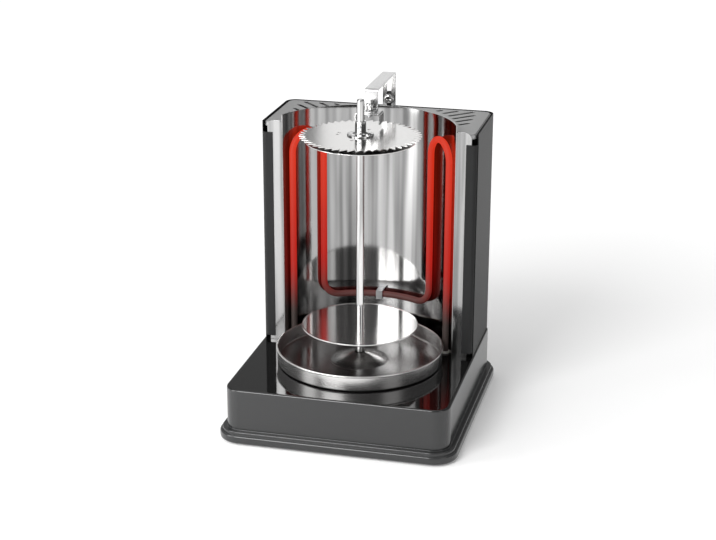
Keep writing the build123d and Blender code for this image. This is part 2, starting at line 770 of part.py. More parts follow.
# ---------------------------------------------------------------- bracket pieces
def bracket_strap():
    """Polished strap: a long slotted leg at the back, over the top, and down to a foot in front."""
    t = strap_sheet
    foot_front = strap_front - strap_foot_reach
    outline = [(strap_back, strap_leg_bottom), (strap_back, strap_top), (strap_front, strap_top),
               (strap_front, strap_foot_height + t), (foot_front, strap_foot_height + t),
               (foot_front, strap_foot_height), (strap_front + t, strap_foot_height),
               (strap_front + t, strap_top - t), (strap_back - t, strap_top - t),
               (strap_back - t, strap_leg_bottom)]
    section = make_face(Polyline(*[(0, y, z) for y, z in outline], close=True))
    strap = extrude(section, strap_width / 2, both=True)
    levels = strap.edges().filter_by(Axis.X).group_by(Axis.Z)
    strap = fillet(levels[-1], strap_bend_r)
    levels = strap.edges().filter_by(Axis.X).filter_by(lambda e: abs(e.center().Z - strap_top + t) < 0.01)
    strap = fillet(levels, strap_bend_r - t)
    slot_half = clamp_r + play
    slot = block(-slot_half, slot_half, leg_front - 1, strap_back + 1, slot_bottom + slot_half,
                 slot_top - slot_half)
    for z in (slot_bottom + slot_half, slot_top - slot_half):
        slot += lying(slot_half, leg_front - 1, strap_back + 1, 0, z)
    strap -= slot
    return strap - upright(yoke_screw_r + running, strap_foot_height - 1, strap_foot_height + 5, 0, yoke_y)


def yoke():
    """A small upside-down U under the strap's foot; its ears hang just above the upper disc."""
    front = strap_front - strap_foot_reach
    half = yoke_width / 2
    body = block(-half, half, front, strap_front, ear_bottom, yoke_top)
    body -= block(-half + yoke_sheet, half - yoke_sheet, front - 1, strap_front + 1, ear_bottom - 1,
                  yoke_top - yoke_sheet)
    return body - upright(yoke_screw_r + running, yoke_top - 5, yoke_top + 1, 0, yoke_y)


def yoke_thumbscrew():
    head_bottom = strap_foot_height + strap_sheet + play
    tail = yoke_top - yoke_sheet - yoke_nut - yoke_tail
    head = upright(yoke_head_r, head_bottom, head_bottom + yoke_head, 0, yoke_y)
    head = fillet(head.edges().sort_by(Axis.Z)[-1], 2.5)
    return head + upright(yoke_screw_r, tail, head_bottom, 0, yoke_y)


def yoke_nut_piece():
    top = yoke_top - yoke_sheet
    nut = extrude(Pos(0, yoke_y, top - yoke_nut) * RegularPolygon(yoke_nut_flats / 2, 6, major_radius=False),
                  yoke_nut)
    return nut - upright(yoke_screw_r + running, top - yoke_nut - 1, top + 1, 0, yoke_y)


def bracket_guide():
    """A block on the inside of the housing's back that guides the slotted leg, with a threaded tab above."""
    half = guide_width / 2
    front = leg_front - play - guide_wall
    body = block(-half, half, front, guide_back, cover_top - guide_height, cover_top)
    body -= block(-strap_width / 2 - play, strap_width / 2 + play, leg_front - play, strap_back + play,
                  cover_top - guide_height - 1, cover_top + 1)
    tab = block(-tab_width / 2, tab_width / 2, strap_back + play, guide_back, cover_top - 1, tab_top)
    corners = tab.edges().filter_by(Axis.Y).group_by(Axis.Z)[-1]
    body += fillet(corners, tab_width / 2 - 0.5)
    return body - lying(clamp_r + running, strap_back, guide_back + 1, 0, clamp_height)


def clamp_screw():
    """The dome-headed screw that clamps the bracket at its height."""
    seat = leg_front - play
    head = lying(clamp_head_r, seat - clamp_head, seat, 0, clamp_height)
    head = fillet(head.edges().sort_by(Axis.Y)[0], clamp_head - 0.8)
    return head + lying(clamp_r, seat, guide_back, 0, clamp_height)


# ---------------------------------------------------------------- switch, inlet and pieces inside
def switch_body_width():
    return bezel_width - 2.4


def switch_body_height():
    return bezel_height - 1.8


def switch_pivot():
    """The rocker's pin lies just inside the outer face of the wall: its x and z."""
    return -base_width / 2 + 0.5, switch_z


def switch_housing():
    wall = -base_width / 2
    body = block(wall - bezel_proud, wall, switch_y - bezel_width / 2, switch_y + bezel_width / 2,
                 switch_z - bezel_height / 2, switch_z + bezel_height / 2)
    body = fillet(body.edges().filter_by(Axis.X), 1.5)
    body += block(wall, wall + switch_body_depth, switch_y - switch_body_width() / 2,
                  switch_y + switch_body_width() / 2, switch_z - switch_body_height() / 2,
                  switch_z + switch_body_height() / 2)
    pivot_x, pivot_z = switch_pivot()
    swing = sqrt(rocker_half ** 2 + rocker_proud ** 2) + play
    depth = sqrt(rocker_half ** 2 + rocker_depth ** 2) * sin(radians(rocker_tilt + 33)) + play
    body -= block(wall - bezel_proud - 1, pivot_x + depth, switch_y - rocker_width / 2 - play,
                  switch_y + rocker_width / 2 + play, switch_z - swing, switch_z + swing)
    pin_length = switch_body_width() - 0.8
    return body - lying(rocker_pin_r + running, switch_y - pin_length / 2, switch_y + pin_length / 2,
                        pivot_x, pivot_z)


def switch_rocker():
    """The rocker, at rest with its lower half pressed in; its face is a shallow V."""
    pivot_x, pivot_z = switch_pivot()
    low_half = rocker_half - 1.4
    outline = [(-rocker_valley, 0), (-rocker_proud, rocker_half), (rocker_depth, low_half),
               (rocker_depth, -low_half), (-rocker_proud, -rocker_half)]
    section = make_face(Polyline(*[(x, 0, z) for x, z in outline], close=True))
    body = extrude(section, rocker_width / 2, both=True)
    pin_length = switch_body_width() - 1.4
    body += Rot(90, 0, 0) * Cylinder(rocker_pin_r, pin_length)
    return Pos(pivot_x, switch_y, pivot_z) * Rot(0, -rocker_tilt, 0) * body


def cable_gland():
    back = base_depth / 2
    body = lying(gland_flange_r, back, back + gland_flange, gland_x, gland_z)
    body = fillet(body.edges().sort_by(Axis.Y)[-1], 1)
    body += lying(gland_r - running, back - gland_length + gland_flange, back, gland_x, gland_z)
    nut = lying(gland_flange_r, back - base_wall - gland_nut, back - base_wall, gland_x, gland_z)
    return body + nut - lying(gland_bore_r, back - gland_length, back + gland_flange + 1, gland_x, gland_z)


def terminal_block():
    width, depth, height = terminal_size
    terminal_y = base_depth / 2 - terminal_back_gap
    body = block(-width / 2, width / 2, terminal_y - depth / 2, terminal_y + depth / 2,
                 deck_under - height, deck_under)
    for pole in (-1, 0, 1):
        body -= lying(2.2, terminal_y - depth, terminal_y + depth, pole * width / 3, deck_under - height / 2)
    return body


def thermal_cutout():
    """An overheat cut-out on the back of the reflector, seated on a pad that follows its curve."""
    wall = axis_y + reflector_out_r
    cutout_z = housing_top - cutout_drop
    half_width, half_height = cutout_pad[0] / 2, cutout_pad[1] / 2
    pad = block(-half_width, half_width, wall - 2, wall + 1.5, cutout_z - half_height, cutout_z + half_height)
    pad -= upright(reflector_out_r, base_top, rim_top, 0, axis_y)
    return pad + lying(cutout_r, wall + 1.5, wall + 1.5 + cutout_depth, 0, cutout_z)


# ---------------------------------------------------------------- the whole grill
pieces = {
    "base_shell": base_shell,
    "bottom_plate": bottom_plate,
    "rubber_feet": rubber_feet,
    "bottom_screws": bottom_screws,
    "gear_motor": gear_motor,
    "motor_screws": motor_screws,
    "drive_bush": drive_bush,
    "motor_shaft": motor_shaft,
    "drive_coupling": drive_coupling,
    "drip_tray": drip_tray,
    "skewer_shaft": skewer_shaft,
    "lower_plate": lower_plate,
    "plate_hub": plate_hub,
    "press_plate": press_plate,
    "serrated_disc": serrated_disc,
    "disc_spacer": disc_spacer,
    "disc_collar": disc_collar,
    "grub_screw": grub_screw,
    "reflector": reflector,
    "housing_shell": housing_shell,
    "top_cover": top_cover,
    "reflector_studs": reflector_studs,
    "housing_screws": housing_screws,
    "heating_element": heating_element,
    "heater_bushings": heater_bushings,
    "heater_clip": heater_clip,
    "bracket_strap": bracket_strap,
    "yoke": yoke,
    "yoke_thumbscrew": yoke_thumbscrew,
    "yoke_nut": yoke_nut_piece,
    "bracket_guide": bracket_guide,
    "clamp_screw": clamp_screw,
    "switch_housing": switch_housing,
    "switch_rocker": switch_rocker,
    "cable_gland": cable_gland,
    "terminal_block": terminal_block,
    "thermal_cutout": thermal_cutout,
}

os.makedirs("parts", exist_ok=True)
for name, make in pieces.items():
    export_step(make(), f"parts/{name}.step")
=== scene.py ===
from math import atan2, cos, pi, radians, sin, sqrt, tan

import bmesh
import bpy
from mathutils import Matrix, Vector


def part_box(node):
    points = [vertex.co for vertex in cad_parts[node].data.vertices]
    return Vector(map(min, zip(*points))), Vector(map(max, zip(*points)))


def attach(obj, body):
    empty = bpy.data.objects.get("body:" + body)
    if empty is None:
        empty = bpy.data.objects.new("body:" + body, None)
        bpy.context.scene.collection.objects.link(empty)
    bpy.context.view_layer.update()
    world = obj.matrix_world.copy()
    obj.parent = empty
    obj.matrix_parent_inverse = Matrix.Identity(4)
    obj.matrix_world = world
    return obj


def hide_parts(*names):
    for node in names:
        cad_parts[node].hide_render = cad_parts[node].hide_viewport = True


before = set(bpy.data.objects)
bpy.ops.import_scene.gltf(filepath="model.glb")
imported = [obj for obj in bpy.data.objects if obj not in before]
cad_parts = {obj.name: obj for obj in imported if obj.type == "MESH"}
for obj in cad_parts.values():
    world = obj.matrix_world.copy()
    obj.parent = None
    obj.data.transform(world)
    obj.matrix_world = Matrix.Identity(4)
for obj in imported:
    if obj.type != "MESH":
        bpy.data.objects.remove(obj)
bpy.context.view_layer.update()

# ---------------------------------------------------------------- base
# The base is one moulding in black plastic: a square box with a polished deck, a bead and a skirt
# round its foot. It is open below and carries everything else.
mm = 0.001


class Value:
    """A number that varies over a surface; sums and products of it add Math nodes."""

    def __init__(self, nodes, socket):
        self.nodes = nodes
        self.socket = socket

    def math(self, operation, first, second):
        return self.nodes.node("ShaderNodeMath", {"operation": operation}, {0: first, 1: second})

    def __add__(self, other):
        return self.math("ADD", self, other)

    def __rsub__(self, other):
        return self.math("SUBTRACT", other, self)

    def __mul__(self, other):
        return self.math("MULTIPLY", self, other)

    __radd__ = __add__
    __rmul__ = __mul__


class Nodes:
    """A node tree that grows by one call per node."""

    def __init__(self, tree):
        self.tree = tree
        self.tree.nodes.clear()

    def node(self, kind, settings=None, inputs=None, output=0):
        """One node: first its settings, then the values or links of its sockets."""
        node = self.tree.nodes.new(kind)
        for name, value in (settings or {}).items():
            if name == "stops":
                node.color_ramp.elements.remove(node.color_ramp.elements[1])
                for number, (place, colour) in enumerate(value):
                    ramp = node.color_ramp.elements
                    stop = ramp[0] if number == 0 else ramp.new(place)
                    stop.position = place
                    stop.color = (*colour, 1)
            else:
                setattr(node, name, value)
        for name, value in (inputs or {}).items():
            self.set(node.inputs[name], value)
        return Value(self, node.outputs[output]) if node.outputs else None

    def set(self, socket, value):
        """Links a varying value to a socket, or sets a plain one on it."""
        if isinstance(value, Value):
            self.tree.links.new(value.socket, socket)
        else:
            socket.default_value = value

    def place(self, stretch=(1, 1, 1)):
        """Where a point lies on its piece, in metres."""
        where = self.node("ShaderNodeTexCoord", output="Object")
        return self.node("ShaderNodeVectorMath", {"operation": "MULTIPLY"}, {0: where, 1: stretch})

    def along(self, axis):
        """How far a point lies along X, Y or Z."""
        return self.node("ShaderNodeSeparateXYZ", None, {0: self.place()}, output=axis)

    def noise(self, size, detail=2, stretch=(1, 1, 1)):
        """Soft patches between 0 and 1, about as wide as the size in metres."""
        return self.node("ShaderNodeTexNoise", None,
                         {"Vector": self.place(stretch), "Scale": 1 / size, "Detail": detail})

    def rise(self, value, start, stop):
        """A smooth step from 0 at start to 1 at stop; stop may lie below start."""
        return self.node("ShaderNodeMapRange", {"interpolation_type": "SMOOTHSTEP"},
                         {"Value": value, "From Min": start, "From Max": stop})

    def mix(self, share, first, second):
        """A colour between two colours."""
        return self.node("ShaderNodeMix", {"data_type": "RGBA"}, {0: share, 6: first, 7: second}, output=2)

    def bump(self, height, depth, strength=1):
        """A normal that follows a height between 0 and 1, which stands for a depth in metres."""
        return self.node("ShaderNodeBump", None, {"Strength": strength, "Distance": depth, "Height": height})


class Finish(Nodes):
    """A material with one Principled shader."""

    def __init__(self, name):
        self.material = bpy.data.materials.new(name)
        self.material.use_nodes = True
        super().__init__(self.material.node_tree)
        out = self.tree.nodes.new("ShaderNodeOutputMaterial")
        self.shader = self.tree.nodes.new("ShaderNodeBsdfPrincipled")
        self.tree.links.new(self.shader.outputs[0], out.inputs["Surface"])

    def look(self, sockets):
        """Sets the shader's sockets."""
        for name, value in sockets.items():
            self.set(self.shader.inputs[name], value)


def grey(level, warmth=0.0):
    """A grey as a colour, a little warm or cool."""
    return (level * (1 + warmth), level, level * (1 - warmth), 1)


def tidy_mesh(points, faces):
    """A mesh with shared corners welded and every face turned outward."""
    mesh = bpy.data.meshes.new("mesh")
    mesh.from_pydata([tuple(p) for p in points], [], faces)
    build = bmesh.new()
    build.from_mesh(mesh)
    bmesh.ops.remove_doubles(build, verts=build.verts, dist=1e-7)
    bmesh.ops.recalc_face_normals(build, faces=build.faces)
    build.to_mesh(mesh)
    build.free()
    return mesh


def add_piece(name, mesh, body, finish, nodes=(), crease=32):
    """A mesh on its body, with its finish, in place of the solids that it stands for."""
    mesh.name = name
    for face in mesh.polygons:
        face.use_smooth = True
    mesh.set_sharp_from_angle(angle=radians(crease))
    piece = bpy.data.objects.new(name, mesh)
    bpy.context.scene.collection.objects.link(piece)
    piece.data.materials.append(finish.material)
    weigh = piece.modifiers.new("flat faces stay flat", "WEIGHTED_NORMAL")
    weigh.keep_sharp = True
    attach(piece, body)
    if nodes:
        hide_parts(*nodes)
    return piece


def softened(corners, closed=True, steps=5):
    """Turns the corners (u, v, radius) of an outline into arcs."""
    outline = []
    for number, (u, v, radius) in enumerate(corners):
        end = number in (0, len(corners) - 1) and not closed
        if end or radius == 0:
            outline.append((u, v))
            continue
        here = Vector((u, v))
        back = (Vector(corners[number - 1][:2]) - here).normalized()
        ahead = (Vector(corners[(number + 1) % len(corners)][:2]) - here).normalized()
        half = back.angle(ahead) / 2
        centre = here + (back + ahead).normalized() * radius / sin(half)
        start = here + back * radius / tan(half) - centre
        stop = here + ahead * radius / tan(half) - centre
        turn = pi - 2 * half
        for step in range(steps + 1):
            share = step / steps
            spoke = (start * sin((1 - share) * turn) + stop * sin(share * turn)) / sin(turn)
            outline.append(tuple(centre + spoke))
    return outline


def rounded_plan(half_x, half_y, radius, z, steps=14):
    """A level outline round the middle of the base, with four equal corners."""
    ring = []
    for quarter, (side_x, side_y) in enumerate(((1, 1), (-1, 1), (-1, -1), (1, -1))):
        for step in range(steps + 1):
            angle = pi / 2 * (quarter + step / steps)
            ring.append((side_x * (half_x - radius) + radius * cos(angle),
                         side_y * (half_y - radius) + radius * sin(angle), z))
    return ring


def lofted(rings, caps=True):
    """A skin over closed rings of equally many points, with its ends filled."""
    points = [point for ring in rings for point in ring]
    count = len(rings[0])
    faces = []
    for level in range(len(rings) - 1):
        for side in range(count):
            ahead = (side + 1) % count
            low = level * count
            faces.append((low + side, low + ahead, low + count + ahead, low + count + side))
    if caps:
        faces.append(tuple(reversed(range(count))))
        faces.append(tuple(range(len(points) - count, len(points))))
    return tidy_mesh(points, faces)


base_low, base_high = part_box("base_shell")
skirt_reach = 9 * mm
bead_reach = 6 * mm
skirt_top = 12 * mm
bead_top = 16 * mm
base_wall = 2.5 * mm
base_corner = 20 * mm
base_half_x = base_high.x - skirt_reach
base_half_y = base_high.y - skirt_reach
deck = base_high.z

black_plastic = Finish("black plastic, polished deck and glossy sides")
# On the deck the colour is darker than on the sides, painted shade, and the plastic is more polished.
deck_polish_and_shade = black_plastic.rise(black_plastic.along(2), deck - 1.6 * mm, deck - 0.4 * mm)
cloudy_mask = black_plastic.noise(22 * mm, 3)
orange_peel = black_plastic.noise(3.5 * mm, 1)
black_plastic.look({
    "Base Color": black_plastic.mix(deck_polish_and_shade, grey(0.027, -0.02), grey(0.0035)),
    "Roughness": deck_polish_and_shade * -0.09 + 0.13 + cloudy_mask * 0.03,
    "Specular IOR Level": 0.6,
    "Normal": black_plastic.bump(orange_peel, 0.02 * mm, 0.12),
})

base_profile = softened([
    (-base_wall, deck - base_wall, 0), (-base_wall, base_low.z, 0.4 * mm),
    (skirt_reach, base_low.z, 2.5 * mm), (skirt_reach, skirt_top, 2.5 * mm),
    (bead_reach, skirt_top, 0.3 * mm), (bead_reach, bead_top, 1.5 * mm),
    (0, bead_top, 0.8 * mm), (0, deck, 2.5 * mm), (-4 * mm, deck, 0)], closed=False)
base_rings = [rounded_plan(base_half_x + reach, base_half_y + reach, base_corner + reach, z)
              for reach, z in base_profile]
add_piece("base_housing", lofted(base_rings), "grill", black_plastic, ["base_shell"])


# ---------------------------------------------------------------- underside
# A moulded plate closes the base. Rubber feet plug into it, and four pan-head screws hold it.
def dress(node, finish):
    """Gives a CAD solid, whose shape is right as it is, its finish."""
    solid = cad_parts[node]
    solid.data.materials.clear()
    solid.data.materials.append(finish.material)


pan_plastic = Finish("pan plastic, fine moulded grain")
pan_grain = pan_plastic.noise(0.9 * mm, 3)
pan_plastic.look({
    "Base Color": pan_plastic.mix(pan_plastic.noise(30 * mm), grey(0.012), grey(0.022)),
    "Roughness": 0.5 + pan_grain * 0.15,
    "Normal": pan_plastic.bump(pan_grain, 0.08 * mm, 0.5),
})
dress("bottom_plate", pan_plastic)

rubber = Finish("soft rubber")
rubber_dust = rubber.noise(6 * mm, 4)
rubber.look({
    "Base Color": rubber.mix(rubber_dust, grey(0.012), grey(0.035, 0.03)),
    "Roughness": 0.72 + rubber_dust * 0.18,
    "Normal": rubber.bump(rubber.noise(0.6 * mm), 0.06 * mm, 0.6),
})
dress("rubber_feet", rubber)

zinc = Finish("bright zinc plating")
zinc_spangle = zinc.noise(2 * mm, 3)
zinc.look({
    "Base Color": zinc.mix(zinc_spangle, grey(0.42, -0.03), grey(0.62, -0.02)),
    "Metallic": 1.0,
    "Roughness": 0.24 + zinc_spangle * 0.16,
})
for node in ("bottom_screws", "motor_screws", "grub_screw", "housing_screws", "reflector_studs", "yoke_nut"):
    dress(node, zinc)


# ---------------------------------------------------------------- drive
# A geared motor hangs under the deck. Its shaft turns a steel coupling in a nylon bush, and the
# coupling's cup takes the skewer's foot.
galvanised = Finish("galvanised steel")
galvanised_flake = galvanised.noise(5 * mm, 4)
galvanised.look({
    "Base Color": galvanised.mix(galvanised_flake, grey(0.30, -0.02), grey(0.48, -0.02)),
    "Metallic": 1.0,
    "Roughness": 0.36 + galvanised_flake * 0.2,
})
for node in ("gear_motor", "heater_clip", "thermal_cutout"):
    dress(node, galvanised)

nylon = Finish("white nylon")
nylon.look({
    "Base Color": nylon.mix(nylon.noise(8 * mm), (0.62, 0.60, 0.54, 1), (0.70, 0.68, 0.62, 1)),
    "Roughness": 0.42 + nylon.noise(2 * mm) * 0.1,
})
for node in ("drive_bush", "terminal_block"):
    dress(node, nylon)

turned_steel = Finish("turned steel with fine tool rings")
tool_rings = turned_steel.noise(0.5 * mm, 1, stretch=(0.05, 0.05, 1))
turned_steel.look({
    "Base Color": turned_steel.mix(tool_rings, grey(0.50, 0.01), grey(0.68, 0.01)),
    "Metallic": 1.0,
    "Roughness": 0.16 + tool_rings * 0.12,
    "Normal": turned_steel.bump(tool_rings, 0.02 * mm, 0.5),
})
for node in ("motor_shaft", "drive_coupling"):
    dress(node, turned_steel)

# ---------------------------------------------------------------- drip tray
# The drip tray is spun from thin stainless sheet: a flat floor, an upright wall with a rolled
# edge, and a cone in the middle that keeps fat off the drive. It lifts out.
skewer_low, skewer_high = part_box("skewer_shaft")
axis_y = (skewer_low.y + skewer_high.y) / 2


def turned(profile, steps=180, place=None):
    """Turns a (radius, height) outline about an upright line through the skewer or a given place."""
    place = place or Matrix.Translation((0, axis_y, 0))
    points = []
    rows = []
    for radius, height in profile:
        count = 1 if radius == 0 else steps
        rows.append([len(points) + number for number in range(count)] * (steps // count))
        for number in range(count):
            angle = 2 * pi * number / steps
            points.append(place @ Vector((radius * cos(angle), radius * sin(angle), height)))
    faces = []
    open_ends = profile[0][0] == 0
    for level in range(len(rows) - (1 if open_ends else 0)):
        low = rows[level]
        high = rows[(level + 1) % len(rows)]
        for side in range(steps):
            ahead = (side + 1) % steps
            corners = [low[side], low[ahead], high[ahead], high[side]]
            faces.append(tuple(dict.fromkeys(corners)))
    return tidy_mesh(points, faces)


def spun_steel(name, dark, light, rough, streak=0.6 * mm, depth=0.012 * mm, darker_floor=()):
    """Stainless steel polished while it spins: fine rings round the skewer's axis. Between the radii of the
    darker floor ring, below its height, the colour is darker."""
    steel = Finish(name)
    offset = steel.node("ShaderNodeVectorMath", {"operation": "SUBTRACT"},
                        {0: steel.place(), 1: (0, axis_y, 0)})
    flat = steel.node("ShaderNodeVectorMath", {"operation": "MULTIPLY"}, {0: offset, 1: (1, 1, 0)})
    radius = steel.node("ShaderNodeVectorMath", {"operation": "LENGTH"}, {0: flat}, output="Value")
    round_and_up = steel.node("ShaderNodeCombineXYZ", None, {0: radius, 1: 0.0, 2: steel.along(2)})
    rings = steel.node("ShaderNodeTexNoise", None,
                       {"Vector": round_and_up, "Scale": 1 / streak, "Detail": 3})
    smears = steel.noise(38 * mm, 3)
    colour = steel.mix(rings * 0.6 + smears * 0.4, grey(dark, 0.012), grey(light, 0.012))
    # Over the floor, between the ring's radii and below its height, the colour is made darker.
    if darker_floor:
        inner, outer, low, high = darker_floor
        inside = steel.rise(radius, inner, inner + 12 * mm) * steel.rise(radius, outer, outer - 1 * mm)
        cloudy_mask = inside * steel.rise(steel.along(2), high, low) * (smears * 0.4 + 0.7)
        colour = steel.mix(cloudy_mask, colour, grey(0.26, 0.005))
    steel.look({
        "Base Color": colour,
        "Metallic": 1.0,
        "Roughness": rough + rings * 0.07 + smears * 0.06,
        "Normal": steel.bump(rings, depth, 0.6),
    })
    return steel


tray_low, tray_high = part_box("drip_tray")
tray_rim = 1.2 * mm
tray_sheet = 0.8 * mm
tray_wall = tray_high.x - tray_rim
tray_cone = 35 * mm
tray_neck = 6.4 * mm
cone_top = tray_low.z + 10.5 * mm
tray_floor = tray_low.z + tray_sheet
roll_z = tray_high.z - tray_rim
roll = [(tray_wall + tray_rim * cos(radians(turn)), roll_z + tray_rim * sin(radians(turn)))
        for turn in range(225, -91, -15)]
tray_profile = softened([
    (tray_neck, cone_top, 0.3 * mm), (tray_cone, tray_floor, 1.5 * mm),
    (tray_wall - tray_sheet, tray_floor, 2 * mm), (*roll[0], 0), *[(*point, 0) for point in roll[1:]],
    (tray_wall, roll_z - tray_rim - 0.4 * mm, 0), (tray_wall, tray_low.z, 2.6 * mm),
    (tray_cone - tray_sheet, tray_low.z, 1 * mm), (tray_neck, cone_top - tray_sheet, 0.2 * mm)])
darker_floor_ring = (tray_cone - 16 * mm, tray_wall - tray_sheet / 2, tray_floor + 2 * mm, tray_floor + 9 * mm)
tray_steel = spun_steel("spun stainless steel", 0.56, 0.84, 0.19, depth=0.03 * mm, darker_floor=darker_floor_ring)
add_piece("drip_tray_pan", turned(tray_profile), "tray", tray_steel, ["drip_tray"])

# ---------------------------------------------------------------- skewer
# The skewer is a polished steel rod that stands in the drive, with a round plate near its foot
# on a small turned hub. Rod, hub and plate lift out together.
shaft_r = (skewer_high.x - skewer_low.x) / 2
tip_r = 2.5 * mm


def steel_with_painted_bands(name, dark, light, band, rough, waves):
    """Bright steel with light and dark bands that run up it, which are painted reflections, and a faintly
    wavy surface.
    """
    steel = Finish(name)
    # The light and dark bands are painted reflections of a studio, stretched up the piece.
    painted_reflection_bands = steel.rise(steel.noise(band, 2, stretch=(1, 1, 0.03)), 0.34, 0.66)
    haze = steel.noise(3 * band, 3, stretch=(1, 1, 0.4))
    rolling = steel.noise(1.5 * band, 2, stretch=(1, 1, 0.05))
    steel.look({
        "Base Color": steel.mix(painted_reflection_bands * 0.8 + haze * 0.2, grey(dark), grey(light, 0.004)),
        "Metallic": 1.0,
        "Roughness": rough + haze * 0.06,
        "Normal": steel.bump(rolling, waves, 0.35),
    })
    return steel


# The skewer's light and dark streaks are painted reflections.
bright_steel = steel_with_painted_bands("polished skewer steel", 0.24, 0.80, 5 * mm, 0.07, 0.05 * mm)
shaft_profile = softened([
    (0, skewer_low.z, 0), (shaft_r - 0.4 * mm, skewer_low.z, 0.3 * mm),
    (shaft_r, skewer_low.z + 2 * mm, 0.3 * mm), (shaft_r, skewer_high.z, tip_r), (0, skewer_high.z, 0)],
    closed=False, steps=8)
add_piece("skewer_rod", turned(shaft_profile, steps=64), "skewer", bright_steel,
          ["skewer_shaft"])

plate_low, plate_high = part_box("lower_plate")
plate_r = plate_high.x
plate_top = plate_high.z - 0.6 * mm
disc_steel = spun_steel("polished plate steel", 0.56, 0.74, 0.09, streak=0.8 * mm)
plate_profile = softened([
    (shaft_r, plate_low.z, 0), (plate_r - 0.8 * mm, plate_low.z, 0.5 * mm),
    (plate_r, plate_low.z + 0.6 * mm, 0.3 * mm), (plate_r, plate_high.z, 0.35 * mm),
    (plate_r - 0.8 * mm, plate_high.z, 0.35 * mm), (plate_r - 1.5 * mm, plate_top, 0.5 * mm),
    (shaft_r, plate_top, 0)])
add_piece("food_plate", turned(plate_profile), "skewer", disc_steel, ["lower_plate"])

hub_low, hub_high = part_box("plate_hub")
hub_r = hub_high.x
hub_profile = softened([
    (shaft_r, hub_low.z, 0), (hub_r - 2 * mm, hub_low.z, 0.5 * mm), (hub_r, hub_low.z + 2 * mm, 0.6 * mm),
    (hub_r, hub_high.z, 0), (shaft_r, hub_high.z, 0)])
add_piece("plate_boss", turned(hub_profile, steps=72), "skewer", turned_steel, ["plate_hub"])

# ---------------------------------------------------------------- upper disc
# Two discs sit near the skewer's top: a smooth plate, and above it a larger one with saw teeth.
# They hang on a turned collar that slides down the skewer and is held by a set screw.
press_low, press_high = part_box("press_plate")
collar_low, collar_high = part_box("disc_collar")
saw_low, saw_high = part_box("serrated_disc")
press_r = press_high.x
press_profile = softened([
    (shaft_r, press_low.z, 0), (press_r, press_low.z, 0.35 * mm), (press_r, press_high.z, 0.35 * mm),
    (shaft_r, press_high.z, 0)])
add_piece("smooth_disc", turned(press_profile), "upper_disc", disc_steel, ["press_plate"])


def plate(outlines, thickness, edge, place):
    """A flat plate with softened edges; each outline inside the first one is a hole."""
    curve = bpy.data.curves.new("plate", "CURVE")
    curve.dimensions = "2D"
    curve.fill_mode = "BOTH"
    curve.extrude = thickness / 2 - edge
    curve.bevel_depth = edge
    curve.bevel_resolution = 2
    curve.offset = -edge
    for number, outline in enumerate(outlines):
        spline = curve.splines.new("POLY")
        spline.points.add(len(outline) - 1)
        spline.use_cyclic_u = True
        area = sum(u * y - x * v for (u, v), (x, y) in zip(outline, outline[1:] + outline[:1]))
        if (area > 0) == (number > 0):
            outline = outline[::-1]
        for point, (u, v) in zip(spline.points, outline):
            point.co = (u, v, 0, 1)
    holder = bpy.data.objects.new("plate", curve)
    mesh = bpy.data.meshes.new_from_object(holder)
    bpy.data.objects.remove(holder)
    bpy.data.curves.remove(curve)
    build = bmesh.new()
    build.from_mesh(mesh)
    bmesh.ops.remove_doubles(build, verts=build.verts, dist=1e-6)
    bmesh.ops.transform(build, matrix=place, verts=build.verts)
    bmesh.ops.recalc_face_normals(build, faces=build.faces)
    build.to_mesh(mesh)
    build.free()
    return mesh


def circle(radius, x=0, y=0, steps=40):
    """A round outline about (x, y)."""
    turns = [2 * pi * step / steps for step in range(steps)]
    return [(x + radius * cos(turn), y + radius * sin(turn)) for turn in turns]


saw_r = 72 * mm
saw_teeth = 48
tooth_depth = 8 * mm
tooth_lean = 0.25
saw_outline = []
for tooth in range(saw_teeth):
    for share, radius in ((0.0, saw_r - tooth_depth), (tooth_lean, saw_r)):
        angle = 2 * pi * (tooth + share) / saw_teeth
        saw_outline.append((radius * cos(angle), radius * sin(angle)))
hole_ring = 27 * mm
hole_r = 1.8 * mm
hole_lean = 8
disc_holes = [circle(shaft_r + 1 * mm)]
for quarter in range(4):
    for lean in (-hole_lean, hole_lean):
        angle = radians(90 * quarter + lean)
        disc_holes.append(circle(hole_r, hole_ring * cos(angle), hole_ring * sin(angle), 20))
saw_place = Matrix.Translation((0, axis_y, (saw_low.z + saw_high.z) / 2))
saw_mesh = plate([saw_outline, *disc_holes], saw_high.z - saw_low.z, 0.18 * mm, saw_place)
add_piece("saw_disc", saw_mesh, "upper_disc", disc_steel, ["serrated_disc"])

spacer_low, spacer_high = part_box("disc_spacer")
spacer_profile = [(shaft_r, spacer_low.z), (spacer_high.x, spacer_low.z), (spacer_high.x, spacer_high.z),
                  (shaft_r, spacer_high.z)]
add_piece("disc_spacer_ring", turned(spacer_profile, steps=72), "upper_disc", turned_steel,
          ["disc_spacer"])

collar_foot_r = 8 * mm
collar_waist_r = 6.2 * mm
collar_flange_r = collar_high.x
collar_neck_r = 6.6 * mm
flange_top = saw_high.z + 1.6 * mm
neck_bottom = flange_top + 2 * mm
collar_profile = softened([
    (shaft_r, collar_low.z, 0), (collar_foot_r, collar_low.z, 0.4 * mm), (collar_foot_r, press_low.z, 0),
    (collar_waist_r, press_low.z, 0), (collar_waist_r, saw_high.z, 0),
    (collar_flange_r, saw_high.z, 0.3 * mm), (collar_flange_r, flange_top, 0.5 * mm),
    (collar_neck_r + 2.4 * mm, flange_top + 0.6 * mm, 1 * mm), (collar_neck_r, neck_bottom, 0.6 * mm),
    (shaft_r, neck_bottom, 0)])
add_piece("collar_flange", turned(collar_profile, steps=96), "upper_disc", bright_steel,
          ["disc_collar"])
neck_sides = 8
neck_outline = softened([(*corner, 0.5 * mm) for corner in circle(collar_neck_r, steps=neck_sides)])
neck_height = collar_high.z - neck_bottom + 0.4 * mm
